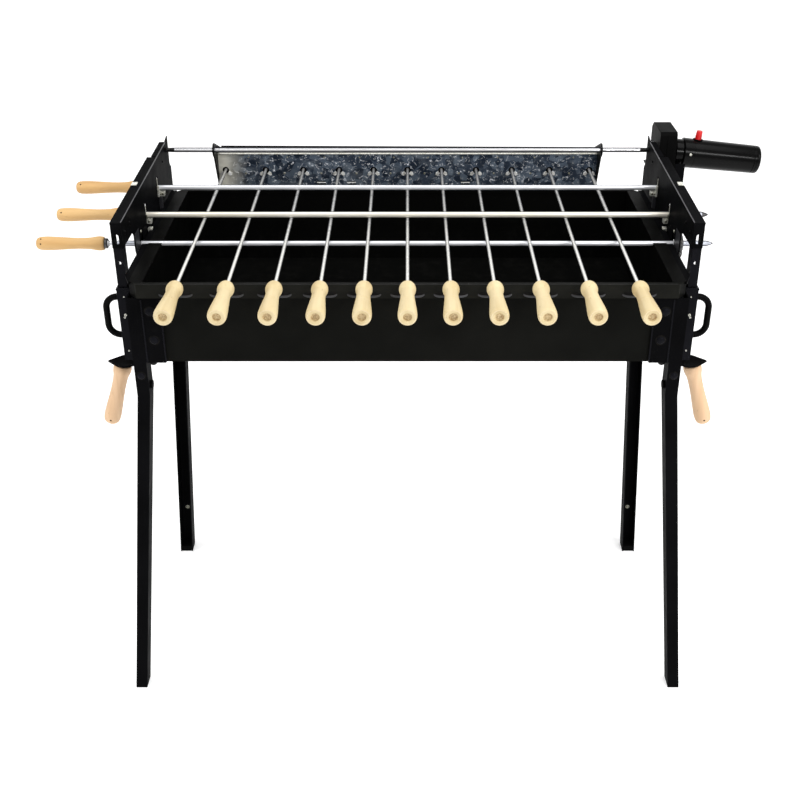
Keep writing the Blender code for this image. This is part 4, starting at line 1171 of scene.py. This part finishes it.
def make_latch_plate(side, way):
    """The pointed plate, domed a little and rounded at its edges."""
    node = f"latch_plate_{side}"
    low, high = local_box(node)
    y, half = middle_of(node)[1], 0.5 * (high.y - low.y)
    tip, centre = reach_of(node)[1], 0.4345
    rim = arc((centre, y), half, 30, radians(58), radians(244))
    rim += [(tip - 0.0008, y - 0.0018), (tip, y - 0.0006), (tip, y + 0.0006), (tip - 0.0008, y + 0.0018)]
    hub = 0.5 * (centre + tip) - 0.006
    levels = ((0.9, low.z), (0.97, low.z + 0.0003), (1.0, low.z + 0.001), (0.995, high.z - 0.0006),
              (0.96, high.z), (0.9, high.z - 0.0002), (0.72, high.z - 0.0008))
    home = (f"latch_{side}", "powder_black")
    with piece(f"latch_guard_{side}", "coat_plate", home, 40, stands_for=node) as plate:
        plate.skin([
            [place(way * (hub + (px - hub) * share), y + (py - y) * share, z) for px, py in rim]
            for share, z in levels
        ])


def make_latch(side, way):
    """A catch lever: its plate, its turned grip with a hanging hole, and the stem between them."""
    make_latch_plate(side, way)
    body, node = f"latch_{side}", f"latch_grip_{side}"
    base = local_box(f"latch_plate_{side}")[0].z
    y = middle_of(f"latch_plate_{side}")[1]
    direction = Vector((way * sin(LEVER_LEAN), 0, -cos(LEVER_LEAN)))
    start = place(way * LEVER_X, y, base - 0.0045)
    profile = [(0.0, 0.0)] + smoothed(LEVER_SHAPE, LEVER_LENGTH, LEVER_RADIUS) + [(LEVER_LENGTH, 0.0)]
    home = (body, "lever_wood")
    with piece(f"latch_handle_{side}", f"pink_{side} tan_end", home, 50, stands_for=node) as grip:
        grip.turned(start, direction, profile, 48)
    across = Vector((0, -1, 0)) - direction * Vector((0, -1, 0)).dot(direction)
    spot = start + direction * (LEVER_LENGTH - 0.0105)
    hole = Shape()
    hole.turned(spot - across * 0.02, across, [(0.0, 0.0014), (0.04, 0.0014)], 16)
    cut(grip.obj, hole)
    paint_hole(grip.obj, spot, across, 0.0016)
    stem = [(0.0, 0.0), (0.0, 0.0062), (0.0046, 0.0062), (0.0046, 0.0)]
    with piece(f"latch_stem_{side}", "gear", (body, "gear_steel")) as made:
        made.turned(place(way * LEVER_X, y, base + 0.0002), (0, 0, -1), stem, 24)


def paint_hole(obj, spot, axis, radius):
    """Gives the walls of a drilled hole the second material, which is near-black painted shade inside the
    hole.
    """
    axis = Vector(axis).normalized()
    for face in obj.data.polygons:
        away = face.center - spot
        if (away - axis * away.dot(axis)).length < radius and abs(face.normal.dot(axis)) < 0.3:
            face.material_index = 1


# ---- motor ---------------------------------------------------------------------------------


def make_gearbox():
    """The gearbox block: chamfered corners, a rod bore, a seam over its front and top, four screws."""
    low, high = local_box("motor_gearbox")
    (y0, y1), (z0, z1) = (low.y, high.y), (low.z, high.z)
    outline = [(y0, z0), (y1, z0), (y1, z1 - 0.01), (y1 - 0.01, z1), (y0 + 0.005, z1), (y0, z1 - 0.005)]
    with piece("gearbox", "motor_box", FRAME_MOTOR, stands_for="motor_gearbox") as box:
        box.prism(outline, "x", (low.x, high.x))
    hollow = Shape()
    seam = (low.x + 0.0118, low.x + 0.0126)
    hollow.prism(disc(middle_of("drive_rod")[1:], 0.0125, 40), "x", (low.x - 0.01, low.x + 0.006))
    hollow.box(seam, (y0 - 0.01, y0 + 0.0006), (z0 - 0.01, z1 + 0.01))
    hollow.box(seam, (y0 - 0.01, y1 + 0.01), (z1 - 0.0006, z1 + 0.01))
    cut(box.obj, hollow)
    soften(box.obj, 0.0011, 3)
    corners = ((y0 + 0.008, z0 + 0.008), (y1 - 0.008, z0 + 0.008), (y0 + 0.009, z1 - 0.011),
               (y1 - 0.014, z1 - 0.012))
    with piece("gearbox_screws", "zinc_dull hole", FRAME_STEEL) as screws:
        for y, z in corners:
            screws.screw(place(high.x, y, z), (1, 0, 0), 0.003, 0.0016)


DROOP = radians(5.7)
BARREL_AXIS = Vector((cos(DROOP), 0, -sin(DROOP)))
BARREL_UP = Vector((sin(DROOP), 0, cos(DROOP)))
BARREL_START = place(0.4563, 0.412, 0.8198)
BARREL_LENGTH, BARREL_BIG, BARREL_SMALL, CAP_LENGTH = 0.15, 0.0255, 0.0236, 0.012
SWITCH_ALONG = 0.04


def tube(along):
    """The barrel's radius at a distance along it."""
    return BARREL_BIG + (BARREL_SMALL - BARREL_BIG) * along / BARREL_LENGTH


def make_barrel():
    """The tapered barrel with a seam, its end cap with vents, and two screws."""
    seam, end = 0.0335, BARREL_LENGTH - CAP_LENGTH
    profile = [(0.0025, 0.0), (0.0025, 0.0216), (0.0034, 0.0225), (0.0145, 0.0225), (0.0155, 0.0238),
               (0.016, 0.0247), (0.0172, 0.0255), (seam - 0.0004, tube(seam)),
               (seam - 0.0002, tube(seam) - 0.0005), (seam + 0.0004, tube(seam) - 0.0005),
               (seam + 0.0006, tube(seam)), (end - 0.0008, tube(end)), (end, tube(end) - 0.0006), (end, 0.0)]
    with piece("barrel", "motor hole", FRAME_MOTOR, stands_for="motor_barrel") as barrel:
        barrel.turned(BARREL_START, BARREL_AXIS, profile, 96)
    well = Shape()
    floor = BARREL_START + BARREL_AXIS * SWITCH_ALONG + BARREL_UP * (BARREL_BIG - 0.005)
    well.turned(floor, BARREL_UP, [(0.0, 0.0061), (0.03, 0.0061)], 32)
    cut(barrel.obj, well)
    cap, small = CAP_LENGTH, BARREL_SMALL
    start = BARREL_START + BARREL_AXIS * (end + 0.0003)
    profile = [(0.0, 0.0), (0.0, small - 0.0004), (0.0006, small), (0.003, small), (0.0034, small - 0.0006),
               (0.0042, small - 0.0006), (0.0046, small), (cap - 0.004, small),
               (cap - 0.0018, small - 0.001), (cap - 0.0006, small - 0.0028), (cap, small - 0.0052),
               (cap - 0.001, small - 0.006), (cap - 0.0012, 0.0)]
    with piece("barrel_cap", "motor", FRAME_MOTOR, stands_for="motor_end_cap") as made:
        made.turned(start, BARREL_AXIS, profile, 96)
    along, lift = 0.0265, radians(10)
    with piece("barrel_screws", "zinc hole", FRAME_STEEL) as screws:
        for way in (-1, 1):
            out = Vector((0, way * cos(lift), 0)) + BARREL_UP * sin(lift)
            spot = BARREL_START + BARREL_AXIS * along + out * (tube(along) - 0.0002)
            screws.screw(spot, out, 0.0022, 0.001)
    # Dark discs in the hole material: painted shade for the vent openings.
    with piece("cap_vents", "hole", FRAME_MOTOR) as vents:
        for spin in [tau * k / 10 for k in range(10)]:
            side = Vector((0, 1, 0)) * cos(spin) + BARREL_UP * sin(spin)
            spot = start + BARREL_AXIS * (cap - 0.0013) + side * 0.0118
            vents.turned(spot, BARREL_AXIS, [(0.0, 0.0013), (0.0004, 0.0013)], 12)


def make_switch():
    """The red push button and its bezel, on top of the barrel."""
    foot = BARREL_START + BARREL_AXIS * SWITCH_ALONG
    height = 0.017
    profile = [(0.0, 0.0), (0.0, 0.0055), (0.009, 0.0055), (0.01, 0.0053), (height - 0.0012, 0.005),
               (height - 0.0003, 0.0046), (height, 0.0038), (height - 0.0003, 0.0)]
    home = ("power_switch", "switch_red")
    with piece("switch_button", "red", home, 40, stands_for="power_switch") as button:
        button.turned(foot + BARREL_UP * (BARREL_BIG - 0.005 + 0.0032), BARREL_UP, profile, 40)
    profile = [(0.0, 0.0061), (0.0, 0.0084), (0.0008, 0.0084), (0.0014, 0.0076), (0.0014, 0.0061)]
    with piece("switch_bezel", "motor_box", FRAME_MOTOR, 40) as bezel:
        bezel.ring(foot + BARREL_UP * (BARREL_BIG - 0.0006), profile, 40, BARREL_UP)


def make_bracket_fittings():
    """The motor bracket's bolts, and the thin web on its front."""
    low, high = local_box("motor_bracket")
    middle = middle_of("motor_bracket")
    with piece("bracket_bolts", "coat_rough", FRAME_BLACK) as bolts:
        for x in (low.x + 0.012, high.x - 0.012):
            bolts.bolt(place(x, low.y, low.z + 0.012), (0, -1, 0), 0.0034, 0.002)
            bolts.bolt(place(x, middle[1], high.z - 0.0025), (0, 0, -1), 0.0034, 0.002)
    near, edge = low.x + 0.012, high.x + 0.0042
    base, top = low.z - 0.0085, high.z + 0.014
    box_side = local_box("motor_gearbox")[1].x + 0.0006
    outline = [(near, base), (edge, base), (edge, top), (box_side, top), (box_side, high.z), (near, high.z)]
    with piece("bracket_web", "coat_plate", FRAME_BLACK, edge=0.0004) as web:
        web.prism(outline, "y", (low.y - 0.0026, low.y - 0.0002))


# ---- stage ---------------------------------------------------------------------------------


def make_stage():
    """A pale floor that curves up into a backdrop."""
    g = Graph("floor_paint")
    g.base = g.mix(g.spread(1.6, 0.3, 0.7), (0.86, 0.86, 0.86), (0.88, 0.88, 0.88))
    g.shader.inputs["Emission Strength"].default_value = 0.46
    paint = g.finish(Roughness=0.9, Specular_IOR_Level=0.1, Emission_Color=(1.0, 1.0, 1.0))
    bm = bmesh.new()
    rows = []
    for y, z in ((-6.0, 0.0), (2.4, 0.0), (3.0, 0.06), (3.5, 0.35), (3.75, 0.9), (3.8, 4.5)):
        rows.append([bm.verts.new((x, y, z - 0.0005)) for x in (-7.0, 7.0)])
    for low, high in zip(rows, rows[1:]):
        bm.faces.new((low[0], low[1], high[1], high[0]))
    mesh = bpy.data.meshes.new("floor")
    bm.to_mesh(mesh)
    bm.free()
    mesh.shade_smooth()
    mesh.materials.append(paint)
    floor = add_object("floor", mesh)


def add_light(name, where, target, size, power):
    data = bpy.data.lights.new(name, "AREA")
    data.shape = "RECTANGLE"
    data.size, data.size_y = size
    data.energy = power
    obj = add_object(name, data)
    obj.location = where
    obj.rotation_euler = (Vector(target) - Vector(where)).to_track_quat("-Z", "Y").to_euler()


def make_lights():
    world = bpy.data.worlds.new("studio")
    world.use_nodes = True
    background = world.node_tree.nodes["Background"]
    background.inputs["Color"].default_value = (1.0, 1.0, 1.0, 1.0)
    background.inputs["Strength"].default_value = 0.42
    bpy.context.scene.world = world
    bpy.context.scene.view_settings.view_transform = "Standard"
    middle = (0.0, 0.0, 0.6)
    add_light("top_soft", (0.0, -0.4, 3.2), middle, (3.2, 2.0), 60.0)
    add_light("left_strip", (-2.6, -1.2, 1.9), middle, (0.6, 2.0), 24.0)
    add_light("right_strip", (2.6, -1.2, 1.9), middle, (0.6, 2.0), 24.0)
    # A narrow strip that draws the highlight along the motor's barrel.
    add_light("line_strip", place(1.12, -1.85, 1.78), place(0.5, 0.4, 0.8), (0.9, 0.24), 21.0)


def make_camera():
    data = bpy.data.cameras.new("camera")
    data.sensor_width = 36.0
    data.lens = 51.75
    data.shift_x = -0.009375
    data.shift_y = -0.05
    camera = add_object("camera", data)
    camera.location = place(0.0, -1.5114, 1.425)
    camera.rotation_euler = (radians(62.252), 0.0, 0.0)
    bpy.context.scene.camera = camera


# ---- assembly ------------------------------------------------------------------------------

dress_frame()
for spit_row in SPIT_ROWS:
    make_spit(spit_row)
for skewer_joint in sorted(SKEWER_JOINTS, key=lambda joint: joint["child"]):
    make_skewer(skewer_joint)
make_rod()
make_housing()
make_apron()
make_chain()
make_hubs()
make_lip_slots()
make_lip_bead()
for side_name, side_way in SIDES:
    make_bearing("middle", side_name, side_way)
    make_bearing("rear", side_name, side_way)
    for make in (make_plate_fittings, make_corner, make_rim_strip, make_leg_fittings,
                 make_sleeve_fittings, make_carry_handle, make_latch):
        make(side_name, side_way)
make_gearbox()
make_barrel()
make_switch()
make_bracket_fittings()
make_stage()
make_lights()
make_camera()
